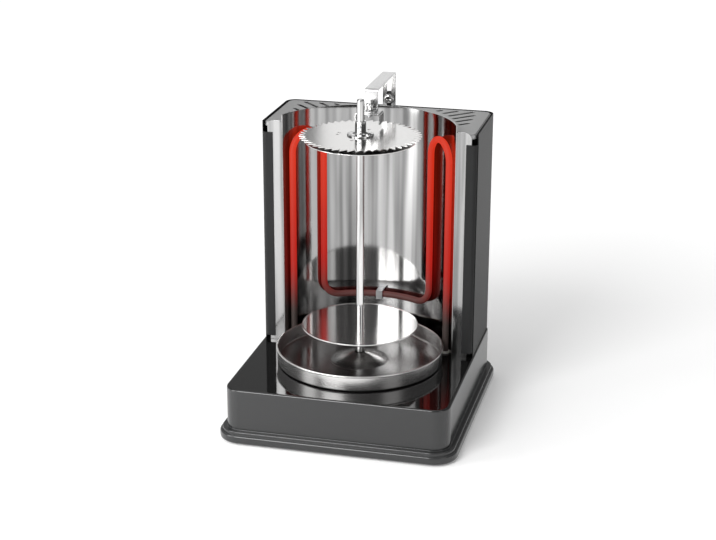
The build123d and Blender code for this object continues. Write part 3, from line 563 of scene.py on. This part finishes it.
neck_place = (Matrix.Translation((0, axis_y, collar_high.z - neck_height / 2))
              @ Matrix.Rotation(pi / neck_sides, 4, "Z"))
neck_mesh = plate([neck_outline, circle(shaft_r)], neck_height, 0.3 * mm, neck_place)
add_piece("collar_neck", neck_mesh, "upper_disc", bright_steel)

# ---------------------------------------------------------------- reflector
# The reflector is one polished stainless sheet, rolled to an arc behind the skewer and folded out
# to a flat flange at each front edge. Its rim is rolled over and stands above the housing.
reflector_low, reflector_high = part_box("reflector")
reflector_sheet = 1 * mm
reflector_r = reflector_high.y - axis_y - reflector_sheet
flange_y = reflector_low.y
flange_end = reflector_high.x
flange_top_z = reflector_high.z - 7.5 * mm
flange_corner = 8 * mm
relief = 1.5 * mm
arc_x = sqrt(reflector_r ** 2 - (flange_y - axis_y) ** 2)


def upright_sheet(path, bottom, top, rows=1):
    """A sheet that stands on a plan path."""
    points = []
    faces = []
    for x, y in path:
        points.extend((x, y, bottom + (top - bottom) * row / rows) for row in range(rows + 1))
    for column in range(len(path) - 1):
        for row in range(rows):
            low = column * (rows + 1) + row
            faces.append((low, low + rows + 1, low + rows + 2, low + 1))
    mesh = bpy.data.meshes.new("sheet")
    mesh.from_pydata(points, [], faces)
    return mesh


def evaluated(mesh, modifiers):
    """The mesh after a list of (type, settings) modifiers."""
    holder = bpy.data.objects.new("holder", mesh)
    bpy.context.scene.collection.objects.link(holder)
    for kind, settings in modifiers:
        modifier = holder.modifiers.new(kind, kind)
        for name, value in settings.items():
            setattr(modifier, name, value)
    ready = holder.evaluated_get(bpy.context.evaluated_depsgraph_get())
    result = bpy.data.meshes.new_from_object(ready)
    bpy.data.objects.remove(holder)
    return result


def blunted(width):
    """A bevel modifier for the edges of a cut sheet."""
    return "BEVEL", {"width": width, "segments": 2, "limit_method": "ANGLE"}


# The reflector's and flanges' light and dark bands are painted reflections.
mirror_steel = steel_with_painted_bands("mirror-polished stainless sheet", 0.09, 0.46, 17 * mm, 0.05, 0.5 * mm)
flange_steel = steel_with_painted_bands("flat stainless flange", 0.19, 0.42, 9 * mm, 0.08, 0.2 * mm)

arc_start = atan2(flange_y - axis_y, arc_x)
arc_steps = 150
arc_path = []
for step in range(arc_steps + 1):
    angle = arc_start + (pi - 2 * arc_start) * step / arc_steps
    arc_path.append((reflector_r * cos(angle), axis_y + reflector_r * sin(angle)))
arc_mesh = upright_sheet(arc_path, reflector_low.z, reflector_high.z, 12)
arc_mesh = evaluated(arc_mesh, [("SOLIDIFY", {"thickness": reflector_sheet, "offset": -1}),
                                blunted(0.2 * mm)])
add_piece("reflector_arc", arc_mesh, "grill", mirror_steel, ["reflector"])


def swept(path, radius, steps=20):
    """A round tube along a path, with its ends filled."""
    rings = []
    normal = Vector((1, 0, 0))
    for number, here in enumerate(path):
        ahead = path[min(number + 1, len(path) - 1)] - path[max(number - 1, 0)]
        ahead.normalize()
        normal = (normal - ahead * normal.dot(ahead)).normalized()
        side = ahead.cross(normal)
        rings.append([tuple(here + normal * u + side * v) for u, v in circle(radius, steps=steps)])
    return lofted(rings)


def facing_front(y):
    """Stands a flat plate upright: its outline is seen from the front, its middle lies at y."""
    return Matrix(((1, 0, 0, 0), (0, 0, -1, y), (0, 1, 0, 0), (0, 0, 0, 1)))


hem_r = 1 * mm
hem_path = [Vector((x, y, reflector_high.z - hem_r)) for x, y in arc_path[1:-1]]
add_piece("reflector_hem", swept(hem_path, hem_r, 12), "grill", flange_steel)

for side, hand in ((1, "right"), (-1, "left")):
    flange_outline = softened([
        (side * arc_x, reflector_low.z, 0), (side * flange_end, reflector_low.z, 0.5 * mm),
        (side * flange_end, flange_top_z, flange_corner), (side * (arc_x + relief), flange_top_z, 0.3 * mm),
        (side * (arc_x + relief), flange_top_z - relief, 0.6 * mm), (side * arc_x, flange_top_z - relief, 0)],
        steps=8)
    flange_place = facing_front(flange_y + reflector_sheet / 2)
    add_piece(f"reflector_flange_{hand}", plate([flange_outline], reflector_sheet, 0.2 * mm, flange_place),
              "grill", flange_steel)

# ---------------------------------------------------------------- housing
# The housing is one sheet with a dark grey powder coat, bent round the back and sides. Narrow
# strips turned in at the front carry the reflector's flanges.
housing_low, housing_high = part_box("housing_shell")
housing_sheet = 1 * mm
housing_corner = 12 * mm
strip_corner = 5 * mm
strip_end = housing_high.x - 13 * mm
strip_bottom = housing_low.z + 5 * mm
strip_top = housing_high.z - 13 * mm

powder_coat = Finish("dark grey powder coat")
coat_grain = powder_coat.noise(0.8 * mm, 3)
coat_cloud = powder_coat.noise(60 * mm, 3)
powder_coat.look({
    "Base Color": powder_coat.mix(coat_cloud, grey(0.02, -0.015), grey(0.027, -0.015)),
    "Roughness": 0.38 + coat_grain * 0.12,
    "Specular IOR Level": 0.12,
    "Normal": powder_coat.bump(coat_grain, 0.05 * mm, 0.35),
})

wall_corners = []
for side in (1, -1):
    edge = side * housing_high.x
    corner = [(edge, housing_low.y + strip_corner, 0), (edge, housing_high.y, housing_corner)]
    wall_corners += corner if side == 1 else corner[::-1]
wall_path = softened(wall_corners, closed=False, steps=12)
wall_mesh = upright_sheet(wall_path, housing_low.z, housing_high.z)
wall_mesh = evaluated(wall_mesh, [("SOLIDIFY", {"thickness": housing_sheet, "offset": 1}),
                                  blunted(0.3 * mm)])
add_piece("housing_wall", wall_mesh, "grill", powder_coat, ["housing_shell"])
for side, hand in ((1, "right"), (-1, "left")):
    strip_path = softened([(side * housing_high.x, housing_low.y + strip_corner + 0.2 * mm, 0),
                           (side * housing_high.x, housing_low.y, strip_corner),
                           (side * strip_end, housing_low.y, 0)], closed=False, steps=10)
    strip_mesh = upright_sheet(strip_path, strip_bottom, strip_top)
    strip_mesh = evaluated(strip_mesh, [("SOLIDIFY", {"thickness": housing_sheet, "offset": side}),
                                        blunted(0.3 * mm)])
    add_piece(f"housing_strip_{hand}", strip_mesh, "grill", powder_coat)

# ---------------------------------------------------------------- top cover
# A grey sheet closes the space between reflector and housing. It has a round cut-out for the
# reflector, a notch for the bracket, and fans of punched slots that let the heat out.
cover_low, cover_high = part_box("top_cover")
cover_sheet = 1 * mm
cover_corner = 8.5 * mm
cover_front_corner = 5 * mm
cut_out_r = reflector_r + reflector_sheet + 0.8 * mm
notch_half = 12.3 * mm
notch_depth = 8.5 * mm
slot_width = 5 * mm
slot_pitch = 13.9 * mm
slot_first = -44 * mm
slot_bow_middle = -38 * mm
slot_bow = 3.7
slot_gap = 29.6 * mm
slot_margin_side = 17 * mm
slot_margin_back = 6.5 * mm

cover_paint = Finish("grey coated cover sheet")
cover_grain = cover_paint.noise(0.9 * mm, 3)
cover_cloud = cover_paint.noise(50 * mm, 2)
cover_paint.look({
    "Base Color": cover_paint.mix(cover_cloud, grey(0.3), grey(0.37)),
    "Metallic": 0.35,
    "Roughness": 0.36 + cover_grain * 0.1,
    "Normal": cover_paint.bump(cover_grain, 0.04 * mm, 0.3),
})


def capsule(start, stop, radius, steps=10):
    """The outline of a slot between the centres of its round ends."""
    start = Vector(start)
    stop = Vector(stop)
    heading = atan2(stop.y - start.y, stop.x - start.x)
    outline = []
    for centre, turn in ((stop, heading - pi / 2), (start, heading + pi / 2)):
        for step in range(steps + 1):
            angle = turn + pi * step / steps
            outline.append((centre.x + radius * cos(angle), centre.y + radius * sin(angle)))
    return outline


front_x = sqrt(cut_out_r ** 2 - (cover_low.y - axis_y) ** 2)
notch_front = cover_high.y - notch_depth
cut_start = atan2(cover_low.y - axis_y, front_x)
cover_outline = softened([
    (front_x, cover_low.y, 0), (cover_high.x, cover_low.y, cover_front_corner),
    (cover_high.x, cover_high.y, cover_corner), (notch_half, cover_high.y, 0.5 * mm),
    (notch_half, notch_front, 0.5 * mm), (-notch_half, notch_front, 0.5 * mm),
    (-notch_half, cover_high.y, 0.5 * mm), (-cover_high.x, cover_high.y, cover_corner),
    (-cover_high.x, cover_low.y, cover_front_corner), (-front_x, cover_low.y, 0)], closed=False, steps=10)
cut_steps = 120
for step in range(1, cut_steps):
    angle = pi - cut_start - (pi - 2 * cut_start) * step / cut_steps
    cover_outline.append((cut_out_r * cos(angle), axis_y + cut_out_r * sin(angle)))

vents = []
for number in range(6):
    across = slot_first + number * slot_pitch
    start = cut_out_r + slot_gap + axis_y / sqrt(2) - slot_bow * (across - slot_bow_middle) ** 2
    stop = min(sqrt(2) * (cover_high.x - slot_margin_side) - across,
               sqrt(2) * (cover_high.y - slot_margin_back) + across)
    ends = [((reach + across) / sqrt(2), (reach - across) / sqrt(2)) for reach in (start, stop)]
    vents.append(capsule(*ends, slot_width / 2))
    vents.append([(-x, y) for x, y in reversed(vents[-1])])
cover_place = Matrix.Translation((0, 0, cover_high.z - cover_sheet / 2))
add_piece("cover_sheet", plate([cover_outline, *vents], cover_sheet, 0.3 * mm, cover_place), "grill",
          cover_paint, ["top_cover"])
for side, hand in ((1, "right"), (-1, "left")):
    lip_path = softened([
        (side * (front_x + 1 * mm), cover_low.y, 0), (side * cover_high.x, cover_low.y, cover_front_corner),
        (side * cover_high.x, cover_high.y, cover_corner), (side * (notch_half + 0.5 * mm), cover_high.y, 0)],
        closed=False, steps=10)
    lip_mesh = upright_sheet(lip_path, cover_low.z, cover_high.z - cover_sheet)
    lip_mesh = evaluated(lip_mesh, [("SOLIDIFY", {"thickness": cover_sheet, "offset": side})])
    add_piece(f"cover_lip_{hand}", lip_mesh, "grill", cover_paint)

# ---------------------------------------------------------------- heating element
# One sheathed tube stands in the reflector: up, over and down on each side, and across behind
# the skewer at the bottom. In use all but its cold ends glows red.
heater_low, heater_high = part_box("heating_element")
heater_r = 4 * mm
heater_ring = reflector_r - 1.7 * mm - heater_r
front_angle = 26.4
back_angle = 51.4
bend_r = 20 * mm
bend_steps = 24
tray_travel = 20 * mm
link_clearance = 3.5 * mm
heater_link = tray_high.z + tray_travel + link_clearance + heater_r


def around(angle, radius, z):
    """A point round the skewer's axis; the angle runs from the right to the back."""
    return Vector((radius * cos(radians(angle)), axis_y + radius * sin(radians(angle)), z))


def straight(start, stop, steps=24):
    """Points from start to stop, without its two ends."""
    return [start + (stop - start) * step / steps for step in range(1, steps)]


def heater_half():
    """The tube's right half, from its cold end to the middle of the link."""
    half_spread = radians(back_angle - front_angle) / 2
    hairpin_r = heater_ring * sin(half_spread)
    spring = heater_high.z - heater_r - hairpin_r
    front = around(front_angle, heater_ring, spring)
    back = around(back_angle, heater_ring, spring)
    middle = (front + back) / 2
    front_foot = around(front_angle, heater_ring, heater_link)
    path = [around(front_angle, heater_ring, heater_low.z), front_foot, *straight(front_foot, front)]
    for step in range(bend_steps + 1):
        turn = pi * step / bend_steps
        path.append(middle + (front - middle) * cos(turn) + Vector((0, 0, hairpin_r * sin(turn))))
    elbow_top = heater_link + bend_r
    path += straight(back, around(back_angle, heater_ring, elbow_top))
    link_ring = sqrt(heater_ring ** 2 - bend_r ** 2)
    link_angle = back_angle + atan2(bend_r, link_ring) * 180 / pi
    end = around(link_angle, link_ring, elbow_top)
    outward = Vector((back.x - end.x, back.y - end.y, 0))
    for step in range(bend_steps // 2 + 1):
        turn = pi * step / bend_steps
        path.append(end + outward * cos(turn) - Vector((0, 0, bend_r * sin(turn))))
    link_steps = 20
    for step in range(1, link_steps + 1):
        angle = link_angle + (90 - link_angle) * step / link_steps
        path.append(around(angle, link_ring, heater_link))
    return path


right_half = heater_half()
left_half = [Vector((-p.x, p.y, p.z)) for p in right_half]
glow = Finish("glowing heater sheath")
height = glow.along(2)
hot = glow.rise(height, 100 * mm, 178 * mm)
mottle = glow.noise(18 * mm, 3, stretch=(1, 1, 0.4))
hottest = glow.rise(height, 150 * mm, 330 * mm)
oxide = glow.mix(mottle, (0.035, 0.028, 0.026, 1), (0.075, 0.055, 0.05, 1))
ember = glow.mix(hottest * 0.75 + mottle * 0.25, (0.42, 0.004, 0.003, 1), (0.72, 0.034, 0.010, 1))
glow.look({
    "Base Color": glow.mix(hot, oxide, (0.03, 0.008, 0.006, 1)),
    "Roughness": 0.5 + mottle * 0.2,
    "Specular IOR Level": 0.25,
    "Emission Color": glow.mix(hot, (0, 0, 0, 1), ember),
    "Emission Strength": 0.95,
})
add_piece("heater_tube", swept(right_half + left_half[::-1][1:], heater_r), "grill", glow,
          ["heating_element"])

ceramic = Finish("cast ceramic")
ceramic_speck = ceramic.noise(1.5 * mm, 4)
ceramic.look({
    "Base Color": ceramic.mix(ceramic_speck, (0.52, 0.50, 0.46, 1), (0.66, 0.64, 0.60, 1)),
    "Roughness": 0.45 + ceramic_speck * 0.2,
    "Normal": ceramic.bump(ceramic_speck, 0.05 * mm, 0.4),
})
bushing_low, bushing_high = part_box("heater_bushings")
bushing_r = 5.4 * mm
for side, hand in ((1, "right"), (-1, "left")):
    foot = around(front_angle, heater_ring, 0)
    ring = softened([(heater_r, bushing_low.z, 0), (bushing_r, bushing_low.z, 0.3 * mm),
                     (bushing_r, bushing_high.z, 0.8 * mm), (heater_r, bushing_high.z, 0)])
    mesh = turned(ring, steps=48, place=Matrix.Translation((side * foot.x, foot.y, 0)))
    add_piece(f"heater_bushing_{hand}", mesh, "grill", ceramic,
              ["heater_bushings"] if hand == "right" else ())

# ---------------------------------------------------------------- bracket
# A polished steel strap bends over the skewer. Its long slotted leg slides in a guide at the back,
# and a small upside-down U hangs under its foot on a thumbscrew.
strap_low, strap_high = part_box("bracket_strap")
strap_sheet = 2 * mm
strap_half = strap_high.x
strap_bend = 3.5 * mm
foot_low = 368 * mm
front_leg = strap_low.y + 20 * mm
clamp_low, clamp_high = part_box("clamp_screw")
clamp_z = (clamp_low.z + clamp_high.z) / 2
strap_slot_half = 2.8 * mm
strap_slot_top = strap_high.z - 7.5 * mm
strap_slot_bottom = clamp_z - 30 * mm - strap_slot_half

strap_steel = Finish("polished strap steel")
strap_streaks = strap_steel.noise(1.1 * mm, 3, stretch=(1, 0.06, 0.06))
strap_smears = strap_steel.noise(9 * mm, 3)
strap_steel.look({
    "Base Color": strap_steel.mix(strap_streaks * 0.5 + strap_smears * 0.5, grey(0.34), grey(0.66)),
    "Metallic": 1.0,
    "Roughness": 0.12 + strap_streaks * 0.07 + strap_smears * 0.07,
    "Normal": strap_steel.bump(strap_streaks, 0.02 * mm, 0.4),
})


def carved(mesh, cutters):
    """The mesh with each cutter's space taken out of it."""
    holder = bpy.data.objects.new("holder", mesh)
    bpy.context.scene.collection.objects.link(holder)
    helpers = []
    for cutter in cutters:
        helper = bpy.data.objects.new("cutter", cutter)
        bpy.context.scene.collection.objects.link(helper)
        modifier = holder.modifiers.new("cut", "BOOLEAN")
        modifier.operation = "DIFFERENCE"
        modifier.solver = "EXACT"
        modifier.object = helper
        helpers.append(helper)
    ready = holder.evaluated_get(bpy.context.evaluated_depsgraph_get())
    result = bpy.data.meshes.new_from_object(ready)
    for helper in (holder, *helpers):
        bpy.data.objects.remove(helper)
    return result


strap_outline = softened([
    (strap_high.y, strap_low.z, 0.3 * mm), (strap_high.y, strap_high.z, strap_bend),
    (front_leg, strap_high.z, strap_bend), (front_leg, foot_low + strap_sheet, 0.6 * mm),
    (strap_low.y, foot_low + strap_sheet, 0.3 * mm), (strap_low.y, foot_low, 0.3 * mm),
    (front_leg + strap_sheet, foot_low, 2 * mm),
    (front_leg + strap_sheet, strap_high.z - strap_sheet, 1.5 * mm),
    (strap_high.y - strap_sheet, strap_high.z - strap_sheet, 1.5 * mm),
    (strap_high.y - strap_sheet, strap_low.z, 0.3 * mm)], steps=8)
side_view = Matrix(((0, 0, 1, 0), (1, 0, 0, 0), (0, 1, 0, 0), (0, 0, 0, 1)))
strap_mesh = plate([strap_outline], 2 * strap_half, 0.3 * mm, side_view)
slot_ends = [(0, strap_slot_bottom + strap_slot_half), (0, strap_slot_top - strap_slot_half)]
slot_cutter = plate([capsule(*slot_ends, strap_slot_half)], 5 * strap_sheet, 0.1 * mm,
                    facing_front(strap_high.y - strap_sheet / 2))
add_piece("bracket_arm", carved(strap_mesh, [slot_cutter]), "bracket", strap_steel,
          ["bracket_strap"])

yoke_low, yoke_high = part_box("yoke")
yoke_sheet = 1.5 * mm
yoke_outline = softened([
    (yoke_high.x, yoke_low.z, 0.4 * mm), (yoke_high.x, yoke_high.z, 2 * mm),
    (yoke_low.x, yoke_high.z, 2 * mm), (yoke_low.x, yoke_low.z, 0.4 * mm),
    (yoke_low.x + yoke_sheet, yoke_low.z, 0.4 * mm),
    (yoke_low.x + yoke_sheet, yoke_high.z - yoke_sheet, 0.7 * mm),
    (yoke_high.x - yoke_sheet, yoke_high.z - yoke_sheet, 0.7 * mm),
    (yoke_high.x - yoke_sheet, yoke_low.z, 0.4 * mm)])
yoke_place = facing_front((yoke_low.y + yoke_high.y) / 2)
add_piece("bracket_yoke", plate([yoke_outline], yoke_high.y - yoke_low.y, 0.25 * mm, yoke_place), "bracket",
          strap_steel, ["yoke"])

knob_low, knob_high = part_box("yoke_thumbscrew")
knob_r = knob_high.x
knob_bottom = knob_high.z - 9 * mm
knob_y = (knob_low.y + knob_high.y) / 2
thread_r = 2 * mm
knurls = 30
knurl_depth = 0.35 * mm
knurl_outline = []
for number in range(2 * knurls):
    reach = knob_r - (knurl_depth if number % 2 else 0)
    knurl_outline.append((reach * cos(pi * number / knurls), reach * sin(pi * number / knurls)))
knurl_height = 5 * mm
knurl_place = Matrix.Translation((0, knob_y, knob_bottom + 0.8 * mm + knurl_height / 2))
add_piece("thumbscrew_grip", plate([knurl_outline], knurl_height, 0.2 * mm, knurl_place), "yoke_screw",
          bright_steel, ["yoke_thumbscrew"])
knob_core = softened([
    (0, knob_low.z, 0), (thread_r - 0.2 * mm, knob_low.z, 0.3 * mm), (thread_r, knob_low.z + 0.6 * mm, 0),
    (thread_r, knob_bottom, 0), (knob_r - 0.6 * mm, knob_bottom, 0.3 * mm),
    (knob_r - 0.6 * mm, knob_high.z, 2.2 * mm), (0, knob_high.z, 0)], closed=False, steps=8)
knob_place = Matrix.Translation((0, knob_y, 0))
add_piece("thumbscrew_core", turned(knob_core, steps=64, place=knob_place), "yoke_screw",
          bright_steel)

# ---------------------------------------------------------------- guide and clamp
# A black moulded guide on the inside of the housing's back holds the slotted leg, and a
# dome-headed screw through the slot clamps the bracket at its height.
guide_plastic = Finish("black glass-filled nylon")
guide_grain = guide_plastic.noise(1 * mm, 4)
guide_plastic.look({
    "Base Color": guide_plastic.mix(guide_grain, grey(0.012), grey(0.024)),
    "Roughness": 0.42 + guide_grain * 0.16,
    "Normal": guide_plastic.bump(guide_grain, 0.05 * mm, 0.4),
})
dress("bracket_guide", guide_plastic)

clamp_r = clamp_high.x
clamp_length = clamp_high.y - clamp_low.y
clamp_head = 4 * mm
clamp_thread_r = 2.5 * mm
clamp_profile = softened([
    (0, 0, 0), (clamp_r, 0, 3.2 * mm), (clamp_r, clamp_head, 0.3 * mm), (clamp_thread_r, clamp_head, 0),
    (clamp_thread_r, clamp_length, 0.3 * mm), (0, clamp_length, 0)], closed=False, steps=8)
to_back = Matrix.Translation((0, clamp_low.y, clamp_z)) @ Matrix.Rotation(radians(-90), 4, "X")
clamp_mesh = turned(clamp_profile, steps=64, place=to_back)
driver_width = 1.2 * mm
driver_length = 7 * mm
driver_depth = 1.5 * mm
driver_cuts = []
for width, height in ((driver_width, driver_length), (driver_length, driver_width)):
    cross = [(x * width / 2, clamp_z + z * height / 2) for x, z in ((-1, -1), (1, -1), (1, 1), (-1, 1))]
    driver_cuts.append(plate([cross], 2 * driver_depth, 0.1 * mm, facing_front(clamp_low.y)))
add_piece("clamp_screw_dome", carved(clamp_mesh, driver_cuts), "clamp", bright_steel,
          ["clamp_screw"])

# ---------------------------------------------------------------- switch and cable inlet
# A rocker switch snaps into the base's left wall, and a gland in the back wall takes the lead.
switch_plastic = Finish("black switch plastic")
switch_film = switch_plastic.noise(4 * mm, 2)
switch_plastic.look({
    "Base Color": switch_plastic.mix(switch_film, grey(0.010), grey(0.016)),
    "Roughness": 0.22 + switch_film * 0.1,
})
for node in ("switch_housing", "switch_rocker", "cable_gland"):
    dress(node, switch_plastic)

# ---------------------------------------------------------------- studio
# A wide pale floor, a soft bright dome and large soft lamps: plain studio light.
floor_size = 14.0
floor_grid = 8
floor_points = []
for row in range(floor_grid + 1):
    for column in range(floor_grid + 1):
        floor_points.append((floor_size * (column / floor_grid - 0.5),
                             floor_size * (row / floor_grid - 0.5), 0))
floor_faces = []
for row in range(floor_grid):
    for column in range(floor_grid):
        low = row * (floor_grid + 1) + column
        floor_faces.append((low, low + 1, low + floor_grid + 2, low + floor_grid + 1))
floor = bpy.data.objects.new("studio_floor", tidy_mesh(floor_points, floor_faces))
bpy.context.scene.collection.objects.link(floor)
paper = Finish("white studio paper")
seen, mirrored, through = [paper.node("ShaderNodeLightPath", output=f"Is {ray} Ray")
                           for ray in ("Camera", "Glossy", "Transmission")]
away = paper.node("ShaderNodeVectorMath", {"operation": "LENGTH"}, {0: paper.place()}, output="Value")
paler = paper.mix(paper.rise(away, -0.3, 2.0), grey(0.12), grey(0.66))
paper.look({
    "Base Color": paper.mix(paper.noise(0.6), grey(0.86), grey(0.88)),
    "Roughness": 0.9,
    "Emission Color": paper.mix(seen + mirrored + through, grey(0.0), paler),
    "Emission Strength": 1.0,
})
floor.data.materials.append(paper.material)

world = bpy.data.worlds.new("studio dome")
world.use_nodes = True
bpy.context.scene.world = world
dome = Nodes(world.node_tree)
direction = dome.node("ShaderNodeTexCoord", output="Generated")
across = dome.node("ShaderNodeSeparateXYZ", None, {0: direction}, output=0)
up = dome.node("ShaderNodeSeparateXYZ", None, {0: direction}, output=2)
levels = ((0.5, 0.25), (0.7, 0.27), (1.0, 0.42))
lift = dome.node("ShaderNodeValToRGB", {"stops": [(place, (level,) * 3) for place, level in levels]},
                 {0: up * 0.5 + 0.5})
seen, mirrored, through = [dome.node("ShaderNodeLightPath", output=f"Is {ray} Ray")
                           for ray in ("Camera", "Glossy", "Transmission")]
white = seen + (mirrored + through) * dome.rise(up, 0.12, 0.0)
sky = dome.node("ShaderNodeBackground", None, {
    "Color": dome.mix(white, lift, grey(1.0)), "Strength": 1.0 - (1.0 - white) * across * 0.3})
dome.node("ShaderNodeOutputWorld", None, {"Surface": sky})


def soft_lamp(name, place, target, width, height, power):
    """A large rectangular lamp that points at a target."""
    lamp = bpy.data.lights.new(name, "AREA")
    lamp.shape = "RECTANGLE"
    lamp.size = width
    lamp.size_y = height
    lamp.energy = power
    holder = bpy.data.objects.new(name, lamp)
    holder.location = place
    holder.rotation_euler = (Vector(target) - Vector(place)).to_track_quat("-Z", "Y").to_euler()
    holder.visible_camera = False
    bpy.context.scene.collection.objects.link(holder)


soft_lamp("key", (-0.85, -1.95, 1.65), (0, 0, 0.15), 1.2, 1.5, 52)
soft_lamp("fill", (1.9, -1.2, 1.1), (0, 0, 0.2), 1.0, 1.4, 5)
soft_lamp("top", (-0.3, 0.3, 2.2), (0, 0.2, 0.2), 2.2, 2.0, 11)
soft_lamp("side", (-0.8, -0.55, 0.42), (-0.13, -0.14, 0.06), 0.35, 0.8, 4)
soft_lamp("back panel", (-0.2, 1.1, 0.66), (0, 0.04, 0.36), 0.3, 0.42, 0.33)

camera_azimuth = radians(13.9)
camera_elevation = radians(19.63)
camera_distance = 2.0637
camera_roll = radians(0.14)
camera_target = Vector((-16.49, 40.96, 162.36)) * mm
camera_lens = 83.64
lens = bpy.data.cameras.new("photograph")
lens.lens = camera_lens
lens.sensor_width = 36
camera = bpy.data.objects.new("photograph", lens)
back = Vector((sin(camera_azimuth) * cos(camera_elevation), -cos(camera_azimuth) * cos(camera_elevation),
               sin(camera_elevation)))
camera.location = camera_target + back * camera_distance
aim = (-back).to_track_quat("-Z", "Y")
camera.rotation_mode = "QUATERNION"
camera.rotation_quaternion = aim @ Matrix.Rotation(camera_roll, 3, "Z").to_quaternion()
bpy.context.scene.collection.objects.link(camera)
bpy.context.scene.camera = camera

bpy.context.scene.view_settings.view_transform = "Standard"
